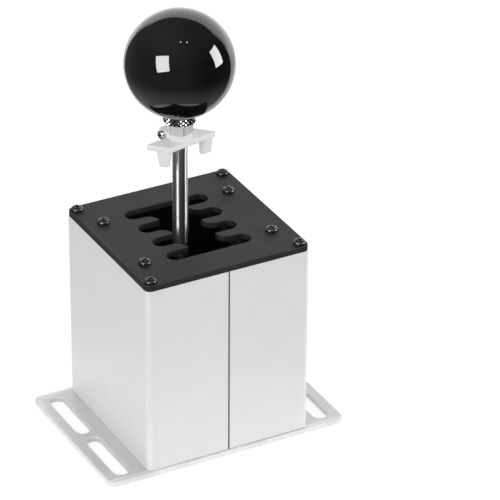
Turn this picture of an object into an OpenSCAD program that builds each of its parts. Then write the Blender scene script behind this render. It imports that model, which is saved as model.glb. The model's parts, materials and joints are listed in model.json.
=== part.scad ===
// Gear shifter for a driving rig: an H-pattern gate of four lanes on a square body.
// +X is the shift direction, +Y runs across the lanes, +Z is up.
// The origin is the middle of the base plate's underside.

/* [Base plate] */
// Length of the base plate along the shift direction
base_w = 147; // [142:1:180]
// Depth of the base plate across the lanes
base_d = 101; // [100:1:130]
// Thickness of the base plate
base_t = 3.2; // [3:0.1:6]
// Corner radius of the base plate
base_corner_r = 4; // [1:0.5:8]
// Chamfer along the base plate's edges
base_edge = 0.4; // [0.2:0.1:0.8]
// Width of each mounting slot
slot_w = 9; // [6:0.5:10]
// Length of each mounting slot, end to end
slot_len = 42; // [20:1:44]
// From the plate's end to the slots' centre line
slot_inset = 10.7; // [8:0.1:12]
// Distance between the two slots of one flange
slot_spacing = 47.6; // [46:0.1:52]

/* [Body] */
// Outer width of the body along the shift direction
body_w = 100; // [96:1:112]
// Outer depth of the body across the lanes
body_d = 99; // [96:1:100]
// Height of the body's channels
body_h = 114; // [104:1:130]
// Wall thickness of the channels
wall = 3; // [2:0.5:4]
// Outer corner radius of the body
body_corner_r = 3; // [1:0.5:5]
// Gap between the two channels
seam_gap = 0.4; // [0.2:0.1:1]
// Chamfer of the channels' edges along the seam
seam_chamfer = 0.4; // [0.2:0.1:0.8]
// Radius of the screw posts in the body's corners
post_r = 4; // [3.5:0.1:5]
// From the body's outer faces to the screw posts' axes
post_inset = 4.4; // [4:0.1:6]

/* [Gate plate] */
// Thickness of the gate plate
gate_t = 3.6; // [3:0.1:6]
// Corner radius of the gate plate
gate_corner_r = 4; // [1:0.5:8]
// Chamfer along the gate plate's outer edges
gate_edge = 0.4; // [0.2:0.1:0.8]
// Distance from one lane to the next
lane_pitch = 17; // [15:0.5:18]
// Width of each lane
lane_w = 10; // [9.5:0.1:11]
// From the gate's middle to the round end of each lane
lane_reach = 25.5; // [22:0.5:28]
// Half width of the neutral channel
channel_half = 10.3; // [7:0.1:12]
// Radius of each prong's lead-in corner
prong_r = 6.5; // [2:0.1:8]
// From the plate's ends to the inner screws
inner_screw_inset = 11; // [10:0.1:13]
// Distance between the inner screws across the lanes
inner_screw_spacing = 50.6; // [44:0.1:54]

/* [Fasteners] */
// Thread diameter of the gate and base screws
screw_d = 4; // [3:0.1:5]
// Head diameter of the gate screws
head_d = 7; // [6:0.1:8]
// Head height of the gate screws
head_h = 2.3; // [1.8:0.1:3]
// Length of the corner screws under the head
corner_screw_len = 14; // [10:1:20]
// Length of the base screws, with their heads
base_screw_len = 14; // [10:1:20]
// Head diameter of the countersunk base screws
flat_head_d = 7.6; // [6.5:0.1:8]
// Height of the countersunk heads
flat_head_h = 2.2; // [1.5:0.1:2.4]
// Width across the flats of the hanger nuts
hanger_nut_af = 7; // [6:0.1:8]
// Height of the hanger nuts
hanger_nut_h = 3.2; // [2:0.1:5]

/* [Lever] */
// Diameter of the lever rod
lever_d = 8.5; // [8:0.1:9]
// Height of the lever's pivot above the base plate
pivot_h = 36.8; // [34:0.1:44]
// Diameter of the lever's thread
lever_thread_d = 8; // [6:0.1:8]
// Lane in which the lever rests, counted from the left
rest_lane = 2; // [2:1:3]
// Tilt of the lever at each end of its throw
shift_angle = 14; // [10:0.5:14]
// Diameter of the ball knob
knob_d = 61; // [45:1:70]
// Diameter of the knurled collar
collar_d = 19; // [16:0.5:22]
// Height of the knurled collar
collar_h = 5.4; // [4:0.1:8]
// Width across the flats of the jam nut
nut_af = 13; // [12:0.1:14]
// Height of the jam nut
nut_h = 6.5; // [4:0.1:8]
// Turn of the jam nut about the lever
nut_turn = 19.6; // [0:0.1:60]
// Diameter of the knob's thread insert
insert_d = 14; // [11:0.5:15]
// Height of the knob's thread insert
insert_h = 24; // [18:1:28]

/* [Sequential lock] */
// Height of the lock's pegs above the gate plate
lock_lift = 39.2; // [20:0.1:50]
// Length of the lock's pegs
peg_len = 9; // [6:0.1:12]
// Thickness of the lock's bar
bar_t = 3.4; // [2.5:0.1:5]
// Width of the lock's bar
bar_w = 11.7; // [11:0.1:14]
// Length of the bar's long edges
bar_len = 32.4; // [30:0.1:38]
// How far the bar's slanted ends run out
bar_slant = 7.9; // [4:0.1:10]
// From the lever's axis forward to the middle of the bar
bar_front = 1.2; // [0.7:0.1:2]
// Height of the lock's clamp above the bar
clamp_h = 3.9; // [3.5:0.1:6]
// Width of the lock's clamp along the bar
clamp_w = 13; // [11:0.5:16]
// From the lever's axis to the clamp's back face
clamp_reach = 10.6; // [10:0.1:13]
// Width of the clamp's slit
clamp_slit = 1.2; // [0.8:0.1:2]
// Turn of the lock about the lever
lock_yaw = 11; // [0:1:30]
// Length of the left peg along the bar's slanted end
left_peg_root = 8.6; // [6:0.1:10]
// Width of the left peg along the bar
left_peg_w = 2.6; // [2:0.1:4]
// Length of the right peg along the bar's slanted end
right_peg_root = 4.8; // [3:0.1:6]
// Width of the right peg along the bar
right_peg_w = 6.3; // [4:0.1:8]
// From the bar's slanted right end to the right peg
right_peg_in = 1.4; // [0.5:0.1:3]
// From the bar's other edges to its pegs
peg_inset = 0.3; // [0.2:0.1:0.6]
// Share of a peg's length that is left at its foot
peg_draft = 0.6; // [0.5:0.05:1]
// Web between the lever and the clamp screw
clamp_web = 1.25; // [0.8:0.05:1.5]
// Height of the clamp screw above the bar
clamp_screw_up = 1; // [0.5:0.1:1.5]

/* [Carriage] */
// Diameter of the cross shaft
shaft_d = 10; // [8:0.5:12]
// Depth of the flat that keeps the carriage from turning
shaft_flat = 0.8; // [0.5:0.1:1.2]
// Wall of the carriage sleeve
sleeve_wall = 1.95; // [1.5:0.05:3]
// Length of the carriage
carriage_len = 16; // [14:0.5:18]
// Thickness of the sleeve's flange and of its ring nut
flange_t = 1.7; // [1.2:0.1:2.5]
// Width of the flange around the sleeve
flange_w = 3; // [2.5:0.1:4]
// Thickness of the friction washers
friction_t = 0.7; // [0.5:0.1:1]
// Wall of the lever hub around the sleeve
hub_wall = 5; // [4:0.1:7]
// Diameter of the hub's boss for the lever
boss_d = 15; // [13:0.5:18]
// Height of that boss above the hub's barrel
boss_h = 15; // [10:0.5:20]
// Diameter of the hub pin
hub_pin_d = 3; // [2:0.1:4]
// Diameter of the sensing magnet
magnet_d = 8; // [5:0.5:9]
// Thickness of the sensing magnet
magnet_t = 3; // [2:0.1:4]
// Wall of the hub's tail beside the magnet
tail_wall = 2; // [1.5:0.1:3]
// Length of the hub's tail under its barrel
tail_len = 7; // [5:0.5:9]
// Thickness of the hub's floor between the sleeve and the lever
hub_floor = 2.5; // [2:0.1:4]

/* [Springs] */
// Wire diameter of the two springs
wire_d = 1; // [0.8:0.1:1.2]
// Number of coils in each spring
spring_coils = 5.5; // [4.5:0.5:6.5]
// Gap between a spring's coils and what they pass over or rest on
spring_gap = 0.3; // [0.2:0.05:0.6]

/* [Hangers] */
// Thickness of the hanger plates
hanger_t = 3; // [2:0.1:4]
// Gap between a hanger and the body's wall
hanger_gap = 1; // [0.6:0.1:1.5]
// Radius of the hanger around the cross shaft
hanger_lobe = 11; // [9:0.5:14]
// Height of the hanger's upper band
hanger_band = 20; // [17:0.5:26]
// Margin of a hanger's ear around its nut
ear_margin = 3.5; // [2:0.1:4]
// Diameter of the tie rods
tie_d = 6; // [5:0.5:8]
// Diameter of the tie rods' riveted ends
spigot_d = 4; // [3:0.1:4.5]
// Height of the tie rods below the gate plate
tie_drop = 12; // [10:0.5:14]
// Distance between the tie rods
tie_spacing = 62; // [58:1:66]
// Thickness of the shaft clips
clip_t = 1; // [0.8:0.1:1.2]
// How far the shaft clips stand out of the shaft
clip_w = 3; // [2:0.1:4]
// Depth of the clips' grooves
groove_depth = 0.5; // [0.3:0.1:0.8]
// Thickness of the washers beside the clips
seat_t = 1; // [0.8:0.1:1.5]

/* [Electronics] */
// Length of the sensor board
board_w = 76; // [70:1:78]
// Depth of the sensor board
board_d = 64; // [60:1:70]
// Thickness of the sensor board
board_t = 1.6; // [1:0.1:2]
// From the board's front edge to the body's wall
board_gap = 5; // [3:0.5:6]
// From the board's edges to its screws
board_screw_inset = 5; // [4:0.1:7]
// Height of the board's spacers
spacer_h = 6; // [4:0.5:8]
// Diameter of the board's spacers
spacer_d = 6; // [5:0.1:8]
// Thread diameter of the board and clamp screws
small_screw_d = 3; // [2:0.1:3.2]
// Width of the socket's shell
socket_w = 12; // [10:0.1:13]
// Height of the socket's shell
socket_h = 11; // [9:0.1:12]
// Length of the socket's shell
socket_len = 16; // [14:0.5:18]

/* [Fits] */
// Radial clearance of parts that run on one another
running_fit = 0.05; // [0.03:0.01:0.1]
// Radial clearance of parts that are pressed or screwed together
seat_fit = 0.03; // [0.02:0.01:0.06]
// Radial clearance around screws in plain holes
hole_clearance = 0.2; // [0.1:0.05:0.5]
// Gap between the hangers and the body's screw posts
post_gap = 0.6; // [0.3:0.1:1]
// Side play of the lever hub between its washers
side_play = 0.1; // [0.05:0.05:0.3]
// Play of the shaft clips in their grooves
end_play = 0.2; // [0.1:0.05:0.4]
// Gap around the socket in the body's wall
socket_gap = 0.3; // [0.2:0.1:0.6]

/* [Hidden] */
$fn = 64;
tiny = 0.01;

silver = [0.86, 0.86, 0.87];
satin_black = [0.10, 0.10, 0.11];
steel = [0.70, 0.71, 0.73];
chrome = [0.80, 0.81, 0.83];
brass = [0.80, 0.66, 0.36];
nylon = [0.93, 0.93, 0.92];
board_green = [0.09, 0.33, 0.19];

// Levels from the floor up
body_top = base_t + body_h;
gate_top = body_top + gate_t;
pivot_z = base_t + pivot_h;
peg_foot = gate_top + lock_lift;
bar_foot = peg_foot + peg_len;
clamp_top = bar_foot + bar_t + clamp_h;
nut_top = clamp_top + nut_h;
collar_top = nut_top + collar_h;
knob_r = knob_d / 2;
knob_z = collar_top + sqrt(pow(knob_r, 2) - pow(collar_d / 2, 2));

// Gate and lanes
lane_ys = [for (k = [0 : 3]) (1.5 - k) * lane_pitch];
rest_y = lane_ys[rest_lane - 1];
prong_w = lane_pitch - lane_w;
prong_tip = 0.3;
lead_in = min(prong_r, prong_w - prong_tip, lane_reach - lane_w / 2 - channel_half);
gate_half = lane_ys[0] + lane_w / 2;

// Screws of the gate plate and the base
post_x = body_w / 2 - post_inset;
post_y = body_d / 2 - post_inset;
inner_x = body_w / 2 - inner_screw_inset;
inner_y = inner_screw_spacing / 2;
screw_r = screw_d / 2;
// The base screws' heads lie this far inside the plate
head_sink = 0.2;

// Hangers and what they carry
hanger_out = body_d / 2 - wall - hanger_gap;
hanger_in = hanger_out - hanger_t;
neck_x = post_x - post_r - post_gap;
neck_y = post_y - post_r - post_gap;
ear_half = hanger_nut_af / 2 + ear_margin;
tie_z = body_top - tie_drop;
spigot_r = spigot_d / 2;
clip_in = hanger_in - clip_t;
seat_in = clip_in - seat_t;

// Carriage, from the shaft outwards
shaft_r = shaft_d / 2;
sleeve_in = shaft_r + running_fit;
sleeve_r = sleeve_in + sleeve_wall;
flange_r = sleeve_r + flange_w;
hub_in = sleeve_r + running_fit;
hub_r = hub_in + hub_wall;
hub_len = carriage_len - 2 * (flange_t + friction_t + 2 * side_play);
groove_r = shaft_r - groove_depth;
clip_r = shaft_r + clip_w;
boss_r = boss_d / 2;
boss_gap = 0.6;
boss_foot = pivot_z + flange_r + boss_gap;
boss_top = pivot_z + hub_r + boss_h;
lever_foot = pivot_z + hub_in + hub_floor;
lever_r = lever_d / 2;
hub_pin_z = (max(boss_foot, lever_foot) + boss_top) / 2;
tail_foot = pivot_z - hub_r - tail_len;
tail_w = magnet_d + 2 * tail_wall;

// Springs: free to pass over the shaft, seated on the flange and the washer
coil_r = shaft_r + spring_gap + wire_d;
spring_seat = wire_d / 2 + spring_gap;

// Board and what stands on it
board_x = body_w / 2 - wall - board_gap - board_w / 2;
board_foot = base_t + spacer_h;
board_top = board_foot + board_t;
board_screw_x = board_w / 2 - board_screw_inset;
board_screw_y = board_d / 2 - board_screw_inset;
small_r = small_screw_d / 2;
chip_lift = 0.2;
blind_floor = 0.8;
sensor_reach = (pivot_z - tail_foot) * sin(shift_angle);
socket_sink = 0.4;
socket_front = body_w / 2 - socket_sink;

// Shared shapes

module rounded_rect(w, d, r) {
    square([w - 2 * r, d], center = true);
    square([w, d - 2 * r], center = true);
    for (sx = [-1, 1], sy = [-1, 1])
        translate([sx * (w / 2 - r), sy * (d / 2 - r)]) circle(r);
}

// One chamfered layer of a rounded plate: it narrows by c over its height c
module chamfer_layer(w, d, r, c) {
    rotate([90, 0, 90])
        translate([0, 0, -(w / 2 - r)])
            linear_extrude(w - 2 * r)
                polygon([[-d / 2, 0], [d / 2, 0], [d / 2 - c, c], [c - d / 2, c]]);
    rotate([90, 0, 0])
        translate([0, 0, -(d / 2 - r)])
            linear_extrude(d - 2 * r)
                polygon([[-w / 2, 0], [w / 2, 0], [w / 2 - c, c], [c - w / 2, c]]);
    for (sx = [-1, 1], sy = [-1, 1])
        translate([sx * (w / 2 - r), sy * (d / 2 - r), 0])
            cylinder(r1 = r, r2 = r - c, h = c);
}

module chamfered_plate(w, d, t, r, c) {
    translate([0, 0, c]) linear_extrude(t - 2 * c) rounded_rect(w, d, r);
    translate([0, 0, t - c]) chamfer_layer(w, d, r, c);
    translate([0, 0, c]) mirror([0, 0, 1]) chamfer_layer(w, d, r, c);
}

module slot(len, w) {
    square([w, len - w], center = true);
    for (s = [-1, 1])
        translate([0, s * (len - w) / 2]) circle(w / 2);
}

// Pan-head screw with a cross recess; the head's seat is at z = 0
module pan_screw(d, len, hd, hh, turn) {
    crown = hh * 0.45;
    recess = hh * 0.55;
    difference() {
        union() {
            rotate_extrude()
                intersection() {
                    translate([0, hh - dome_r(hd, crown)]) circle(dome_r(hd, crown));
                    square([hd / 2, hh]);
                }
            translate([0, 0, -len]) cylinder(d = d, h = len + tiny);
        }
        rotate([0, 0, turn])
            for (a = [0, 90])
                rotate([0, 0, a])
                    translate([0, 0, hh - recess / 2 + tiny])
                        cube([hd * 0.55, hd * 0.14, recess], center = true);
    }
}

// Radius of the ball whose cap of height c is hd wide
function dome_r(hd, c) = (pow(hd / 2, 2) + pow(c, 2)) / (2 * c);

// Hexagon nut with chamfered corners, standing on z = 0
module hex_nut(af, h, bore_r) {
    corner_r = af / 2 / cos(30);
    c = (corner_r - af / 2) * 0.6;
    difference() {
        intersection() {
            cylinder(r = corner_r, h = h, $fn = 6);
            rotate_extrude()
                polygon([
                    [0, 0], [corner_r - 2 * c, 0], [corner_r, c],
                    [corner_r, h - c], [corner_r - 2 * c, h], [0, h]
                ]);
        }
        translate([0, 0, -1]) cylinder(r = bore_r, h = h + 2);
    }
}

module ring(r_in, r_out, t) {
    difference() {
        cylinder(r = r_out, h = t);
        translate([0, 0, -1]) cylinder(r = r_in, h = t + 2);
    }
}

// Stands its children's +Z along +Y, from y at the cross shaft's height
module along_y(y) {
    translate([0, y, pivot_z]) rotate([-90, 0, 0]) children();
}

module at_posts() {
    for (sx = [-1, 1], sy = [-1, 1])
        translate([sx * post_x, sy * post_y, 0]) children();
}

module at_inner_screws() {
    for (sx = [-1, 1], sy = [-1, 1])
        translate([sx * inner_x, sy * inner_y, 0]) children();
}

module at_board_screws() {
    for (sx = [-1, 1], sy = [-1, 1])
        translate([board_x + sx * board_screw_x, sy * board_screw_y, 0]) children();
}

// Turns its children from the lock's own axes to where it sits on the lever
module at_lock() {
    translate([0, rest_y, 0]) rotate([0, 0, lock_yaw]) children();
}

// Base and body

module base_plate() {
    color(silver)
        difference() {
            chamfered_plate(base_w, base_d, base_t, base_corner_r, base_edge);
            translate([0, 0, -1])
                linear_extrude(base_t + 2)
                    for (sx = [-1, 1], sy = [-1, 1])
                        translate([sx * (base_w / 2 - slot_inset), sy * slot_spacing / 2])
                            slot(slot_len, slot_w);
            at_posts() {
                translate([0, 0, -1]) cylinder(r = screw_r + hole_clearance, h = base_t + 2);
                translate([0, 0, -tiny])
                    cylinder(
                        r1 = flat_head_d / 2 + head_sink + seat_fit,
                        r2 = screw_r + seat_fit,
                        h = flat_head_h + head_sink
                    );
            }
            at_board_screws()
                translate([0, 0, blind_floor]) cylinder(r = small_r + seat_fit, h = base_t);
        }
}

// Cross-section of the channel on the -X side
module channel_outline() {
    difference() {
        union() {
            difference() {
                rounded_rect(body_w, body_d, body_corner_r);
                square([body_w - 2 * wall, body_d - 2 * wall], center = true);
            }
            intersection() {
                for (sy = [-1, 1])
                    translate([-post_x, sy * post_y]) circle(post_r);
                rounded_rect(body_w, body_d, body_corner_r);
            }
        }
        translate([-seam_gap / 2, -body_d]) square([body_w, 2 * body_d]);
        for (sy = [-1, 1])
            translate([-seam_gap / 2, sy * body_d / 2])
                rotate(45) square(seam_chamfer * sqrt(2), center = true);
        for (sy = [-1, 1])
            translate([-post_x, sy * post_y]) circle(screw_r + seat_fit);
    }
}

module rear_channel() {
    color(silver)
        translate([0, 0, base_t]) linear_extrude(body_h) channel_outline();
}

module front_channel() {
    color(silver)
        difference() {
            translate([0, 0, base_t]) rotate([0, 0, 180]) linear_extrude(body_h) channel_outline();
            translate([body_w / 2 - wall, 0, board_top + socket_h / 2])
                cube([4 * wall, socket_w + 2 * socket_gap, socket_h + 2 * socket_gap], center = true);
        }
}

module base_screws() {
    color(steel)
        at_posts()
            difference() {
                union() {
                    translate([0, 0, head_sink])
                        cylinder(r1 = flat_head_d / 2, r2 = screw_r, h = flat_head_h);
                    translate([0, 0, head_sink + flat_head_h - tiny])
                        cylinder(r = screw_r, h = base_screw_len - flat_head_h);
                }
                for (a = [0, 90])
                    rotate([0, 0, a])
                        cube([flat_head_d * 0.6, flat_head_d * 0.13, flat_head_h], center = true);
            }
}

// Gate plate and its screws

module gate_opening() {
    square([2 * channel_half, 2 * gate_half], center = true);
    for (y = lane_ys)
        translate([0, y]) rotate(90) slot(2 * lane_reach, lane_w);
    // The prongs' lead-in corners: the rear ones face left and the front ones face right
    for (turn = [0, 180], k = [-1 : 1])
        rotate(turn)
            translate([-channel_half - lead_in, k * lane_pitch + prong_w / 2 - lead_in])
                difference() {
                    square(lead_in);
                    circle(lead_in);
                }
}

module gate_plate() {
    color(satin_black)
        difference() {
            translate([0, 0, body_top])
                chamfered_plate(body_w, body_d, gate_t, gate_corner_r, gate_edge);
            translate([0, 0, body_top - 1]) linear_extrude(gate_t + 2) gate_opening();
            translate([0, 0, body_top - 1]) {
                at_posts() cylinder(r = screw_r + hole_clearance, h = gate_t + 2);
                at_inner_screws() cylinder(r = screw_r + hole_clearance, h = gate_t + 2);
            }
        }
}

module gate_corner_screws() {
    color(satin_black)
        translate([0, 0, gate_top])
            at_posts() pan_screw(screw_d, corner_screw_len, head_d, head_h, 20);
}

module gate_inner_screws() {
    color(satin_black)
        translate([0, 0, gate_top])
            at_inner_screws()
                pan_screw(screw_d, gate_t + hanger_t + hanger_nut_h + 1, head_d, head_h, 35);
}

module hanger_nuts() {
    color(steel)
        translate([0, 0, body_top - hanger_t - hanger_nut_h])
            at_inner_screws() hex_nut(hanger_nut_af, hanger_nut_h, screw_r + seat_fit);
}

// Hangers, shaft and springs

// Half of the hanger's plate: a band at the top that narrows to the shaft's lobe
module hanger_outline() {
    band_foot = body_top - hanger_t - hanger_band;
    reach = norm([neck_x, band_foot - pivot_z]);
    tangent = atan2(band_foot - pivot_z, neck_x) - acos(hanger_lobe / reach);
    touch = [hanger_lobe * cos(tangent), pivot_z + hanger_lobe * sin(tangent)];
    difference() {
        union() {
            translate([0, pivot_z]) circle(hanger_lobe);
            polygon([
                [-neck_x, body_top], [-neck_x, band_foot], [-touch[0], touch[1]],
                [0, pivot_z], [touch[0], touch[1]], [neck_x, band_foot], [neck_x, body_top]
            ]);
        }
        translate([0, pivot_z]) circle(shaft_r + seat_fit);
        for (s = [-1, 1])
            translate([s * tie_spacing / 2, tie_z]) circle(spigot_r + seat_fit);
        // Notch between the two ears
        translate([0, body_top])
            square([2 * (inner_x - ear_half), 2 * hanger_t], center = true);
    }
}

// The hanger on the left, +Y, side
module hanger() {
    ear_x = body_w / 2 - wall - hanger_gap;
    translate([0, hanger_out, 0])
        rotate([90, 0, 0]) linear_extrude(hanger_t) hanger_outline();
    translate([0, 0, body_top - hanger_t])
        linear_extrude(hanger_t)
            difference() {
                for (s = [0, 1])
                    mirror([s, 0])
                        polygon([
                            [inner_x - ear_half, inner_y - ear_half], [ear_x, inner_y - ear_half],
                            [ear_x, neck_y], [neck_x, neck_y],
                            [neck_x, hanger_out], [inner_x - ear_half, hanger_out]
                        ]);
                for (s = [-1, 1])
                    translate([s * inner_x, inner_y]) circle(screw_r + seat_fit);
            }
}

module left_hanger() {
    color(steel) hanger();
}

module right_hanger() {
    color(steel) mirror([0, 1, 0]) hanger();
}

module tie_rods() {
    color(steel)
        for (s = [-1, 1])
            translate([s * tie_spacing / 2, 0, tie_z])
                rotate([90, 0, 0]) {
                    cylinder(d = tie_d, h = 2 * hanger_in, center = true);
                    cylinder(r = spigot_r, h = 2 * hanger_out, center = true);
                }
}

module cross_shaft() {
    color(chrome)
        difference() {
            along_y(-hanger_out) cylinder(r = shaft_r, h = 2 * hanger_out);
            for (s = [-1, 1])
                along_y(s * (hanger_in - clip_t / 2) - (clip_t + end_play) / 2)
                    ring(groove_r, shaft_r + 1, clip_t + end_play);
            translate([-shaft_r, -seat_in, pivot_z + shaft_r - shaft_flat])
                cube([shaft_d, 2 * seat_in, shaft_d]);
        }
}

module shaft_clips() {
    color(steel)
        for (s = [-1, 1])
            along_y(s * (hanger_in - clip_t / 2) - clip_t / 2)
                difference() {
                    ring(groove_r + seat_fit, clip_r, clip_t);
                    translate([-groove_r * 0.7, 0, -1])
                        cube([2 * groove_r * 0.7, clip_r, clip_t + 2]);
                }
}

module shaft_washers() {
    color(steel)
        for (s = [-1, 1])
            along_y(s * (clip_in - seat_t / 2) - seat_t / 2)
                ring(shaft_r + running_fit, flange_r, seat_t);
}

// A coil about the cross shaft from y0 to y1: each ring of six points stands square
// to the wire, at turn a and radius coil_r, and moves evenly along Y.
rings_per_coil = 8;
wire_sides = 6;
spring_steps = spring_coils * rings_per_coil;

function coil_point(k, y0, y1) =
    let (a = 360 * k / rings_per_coil)
    [coil_r * cos(a), y0 + (y1 - y0) * k / spring_steps, pivot_z + coil_r * sin(a)];

function coil_ring(k, y0, y1) =
    let (
        a = 360 * k / rings_per_coil,
        out = [cos(a), 0, sin(a)],
        rise = (y1 - y0) / spring_coils / 360,
        run = [-coil_r * sin(a) * PI / 180, rise, coil_r * cos(a) * PI / 180],
        side = cross(run / norm(run), out)
    )
    [for (j = [0 : wire_sides - 1])
        let (b = 360 * j / wire_sides)
        coil_point(k, y0, y1) + wire_d / 2 * (cos(b) * out + sin(b) * side)];

module coil(y0, y1) {
    points = [for (k = [0 : spring_steps]) each coil_ring(k, y0, y1)];
    last = spring_steps * wire_sides;
    function at(k, j) = k * wire_sides + j % wire_sides;
    skin = [for (k = [0 : spring_steps - 1], j = [0 : wire_sides - 1])
        each [[at(k, j), at(k, j + 1), at(k + 1, j)], [at(k, j + 1), at(k + 1, j + 1), at(k + 1, j)]]];
    caps = [for (j = [1 : wire_sides - 2]) each [[0, j + 1, j], [last, last + j, last + j + 1]]];
    polyhedron(points, concat(skin, caps));
}

// Least gap between two places on the wire that lie half a coil or more apart
function coil_gap(y0, y1) =
    min([for (
            i = [0 : spring_steps - rings_per_coil / 2],
            k = [i + rings_per_coil / 2 : spring_steps]
        )
        norm(coil_point(i, y0, y1) - coil_point(k, y0, y1))]) - wire_d;

left_coil = [rest_y + carriage_len / 2 + spring_seat, seat_in - spring_seat];
right_coil = [spring_seat - seat_in, rest_y - carriage_len / 2 - spring_seat];

module left_spring() {
    color(steel) coil(left_coil[0], left_coil[1]);
}

module right_spring() {
    color(steel) coil(right_coil[0], right_coil[1]);
}

// Carriage

module carriage_bush() {
    color(brass)
        difference() {
            along_y(rest_y - carriage_len / 2) {
                cylinder(r = sleeve_r, h = carriage_len);
                cylinder(r = flange_r, h = flange_t);
            }
            intersection() {
                along_y(rest_y - carriage_len) cylinder(r = sleeve_in, h = 2 * carriage_len);
                translate([-shaft_d, rest_y - carriage_len, pivot_z - shaft_d])
                    cube([
                        2 * shaft_d, 2 * carriage_len,
                        shaft_d + shaft_r - shaft_flat + running_fit
                    ]);
            }
        }
}

module carriage_ring() {
    color(steel)
        along_y(rest_y + carriage_len / 2 - flange_t)
            difference() {
                ring(sleeve_r + seat_fit, flange_r, flange_t);
                for (s = [-1, 1])
                    translate([s * flange_r, 0, flange_t / 2])
                        cube([flange_w, flange_w, 2 * flange_t], center = true);
            }
}

module friction_washers() {
    color([0.30, 0.24, 0.18])
        for (s = [-1, 1])
            along_y(rest_y + s * (hub_len / 2 + side_play + friction_t / 2) - friction_t / 2)
                ring(sleeve_r + 2 * running_fit, flange_r, friction_t);
}

// Lever

module lever_hub() {
    color(steel)
        difference() {
            union() {
                along_y(rest_y - hub_len / 2) cylinder(r = hub_r, h = hub_len);
                translate([0, rest_y, boss_foot]) cylinder(r = boss_r, h = boss_top - boss_foot);
                translate([-boss_r, rest_y - hub_len / 2, pivot_z])
                    cube([boss_d, hub_len, boss_foot - pivot_z + tiny]);
                translate([-tail_w / 2, rest_y - hub_len / 2, tail_foot])
                    cube([tail_w, hub_len, pivot_z - tail_foot]);
            }
            along_y(rest_y - hub_len) cylinder(r = hub_in, h = 2 * hub_len);
            translate([0, rest_y, lever_foot]) cylinder(r = lever_r + seat_fit, h = boss_top);
            translate([0, rest_y, hub_pin_z])
                rotate([0, 90, 0])
                    cylinder(d = hub_pin_d + 2 * seat_fit, h = 2 * boss_d, center = true);
            translate([0, rest_y, tail_foot - 1])
                cylinder(d = magnet_d + 2 * seat_fit, h = magnet_t + 1);
        }
}

module hub_pin() {
    color(chrome)
        translate([0, rest_y, hub_pin_z])
            rotate([0, 90, 0]) cylinder(d = hub_pin_d, h = boss_d - 1, center = true);
}

module shift_lever() {
    thread_top = collar_top + insert_h - 5;
    color(chrome)
        translate([0, rest_y, 0])
            difference() {
                union() {
                    translate([0, 0, lever_foot]) cylinder(r = lever_r, h = clamp_top - lever_foot);
                    translate([0, 0, clamp_top - tiny])
                        cylinder(d = lever_thread_d, h = thread_top - clamp_top);
                }
                translate([0, 0, hub_pin_z])
                    rotate([0, 90, 0])
                        cylinder(d = hub_pin_d + 2 * seat_fit, h = boss_d, center = true);
            }
}

module sensing_magnet() {
    color(steel)
        translate([0, rest_y, tail_foot]) cylinder(d = magnet_d, h = magnet_t);
}

module jam_nut() {
    color(chrome)
        translate([0, rest_y, clamp_top])
            rotate([0, 0, nut_turn]) hex_nut(nut_af, nut_h, lever_thread_d / 2 + seat_fit);
}

module knurled_collar() {
    r = collar_d / 2;
    bevel = 0.5;
    color(chrome)
        translate([0, rest_y, nut_top])
            rotate_extrude()
                polygon([
                    [lever_thread_d / 2 + seat_fit, 0], [r - bevel, 0], [r, bevel],
                    [r, collar_h], [lever_thread_d / 2 + seat_fit, collar_h]
                ]);
}

module knob_insert() {
    color(brass)
        translate([0, rest_y, collar_top])
            ring(lever_thread_d / 2 + seat_fit, insert_d / 2, insert_h);
}

module ball_knob() {
    color([0.02, 0.02, 0.02])
        difference() {
            translate([0, rest_y, knob_z]) sphere(r = knob_r);
            translate([-knob_r, rest_y - knob_r, collar_top - 2 * knob_r])
                cube([knob_d, knob_d, 2 * knob_r]);
            translate([0, rest_y, collar_top - 1])
                cylinder(d = insert_d + 2 * seat_fit, h = insert_h + 1 + seat_fit);
        }
}

// Sequential lock, drawn along X about the lever's axis

bar_tip = (bar_len + bar_slant) / 2;
clamp_screw_y = lever_r + small_r + clamp_web;
clamp_screw_z = bar_foot + bar_t + clamp_screw_up;
clamp_head_d = 2 * small_screw_d - 0.4;
clamp_head_h = 0.8 * small_screw_d;
clamp_nut_af = 2 * small_screw_d - 0.5;
clamp_nut_h = 0.8 * small_screw_d;
// How far the clamp screw's tip stands out of its nut
clamp_tip = 1;

// One pair of a peg's sides: a prism along X, w wide, with the share draft of w left at its foot
module peg_sides(w, draft) {
    rotate([90, 0, 90])
        translate([0, 0, -bar_len])
            linear_extrude(2 * bar_len)
                polygon([
                    [-w / 2, bar_t / 2], [-w / 2, 0], [-w / 2 * draft, -peg_len],
                    [w / 2 * draft, -peg_len], [w / 2, 0], [w / 2, bar_t / 2]
                ]);
}

// A peg along the bar's front edge, w wide; its left side meets that edge at x
module peg(x, root, w) {
    slant = [bar_slant, -bar_w] / norm([bar_slant, bar_w]);
    lean = -slant[1];
    corner = [x, -bar_w / 2] - slant * peg_inset / lean;
    middle = corner + [w, 0] / 2 - slant * root / 2;
    translate([middle[0], middle[1], 0])
        intersection() {
            peg_sides(root * lean, peg_draft);
            rotate(atan2(slant[1], slant[0])) peg_sides(w * lean, 1);
        }
}

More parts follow.
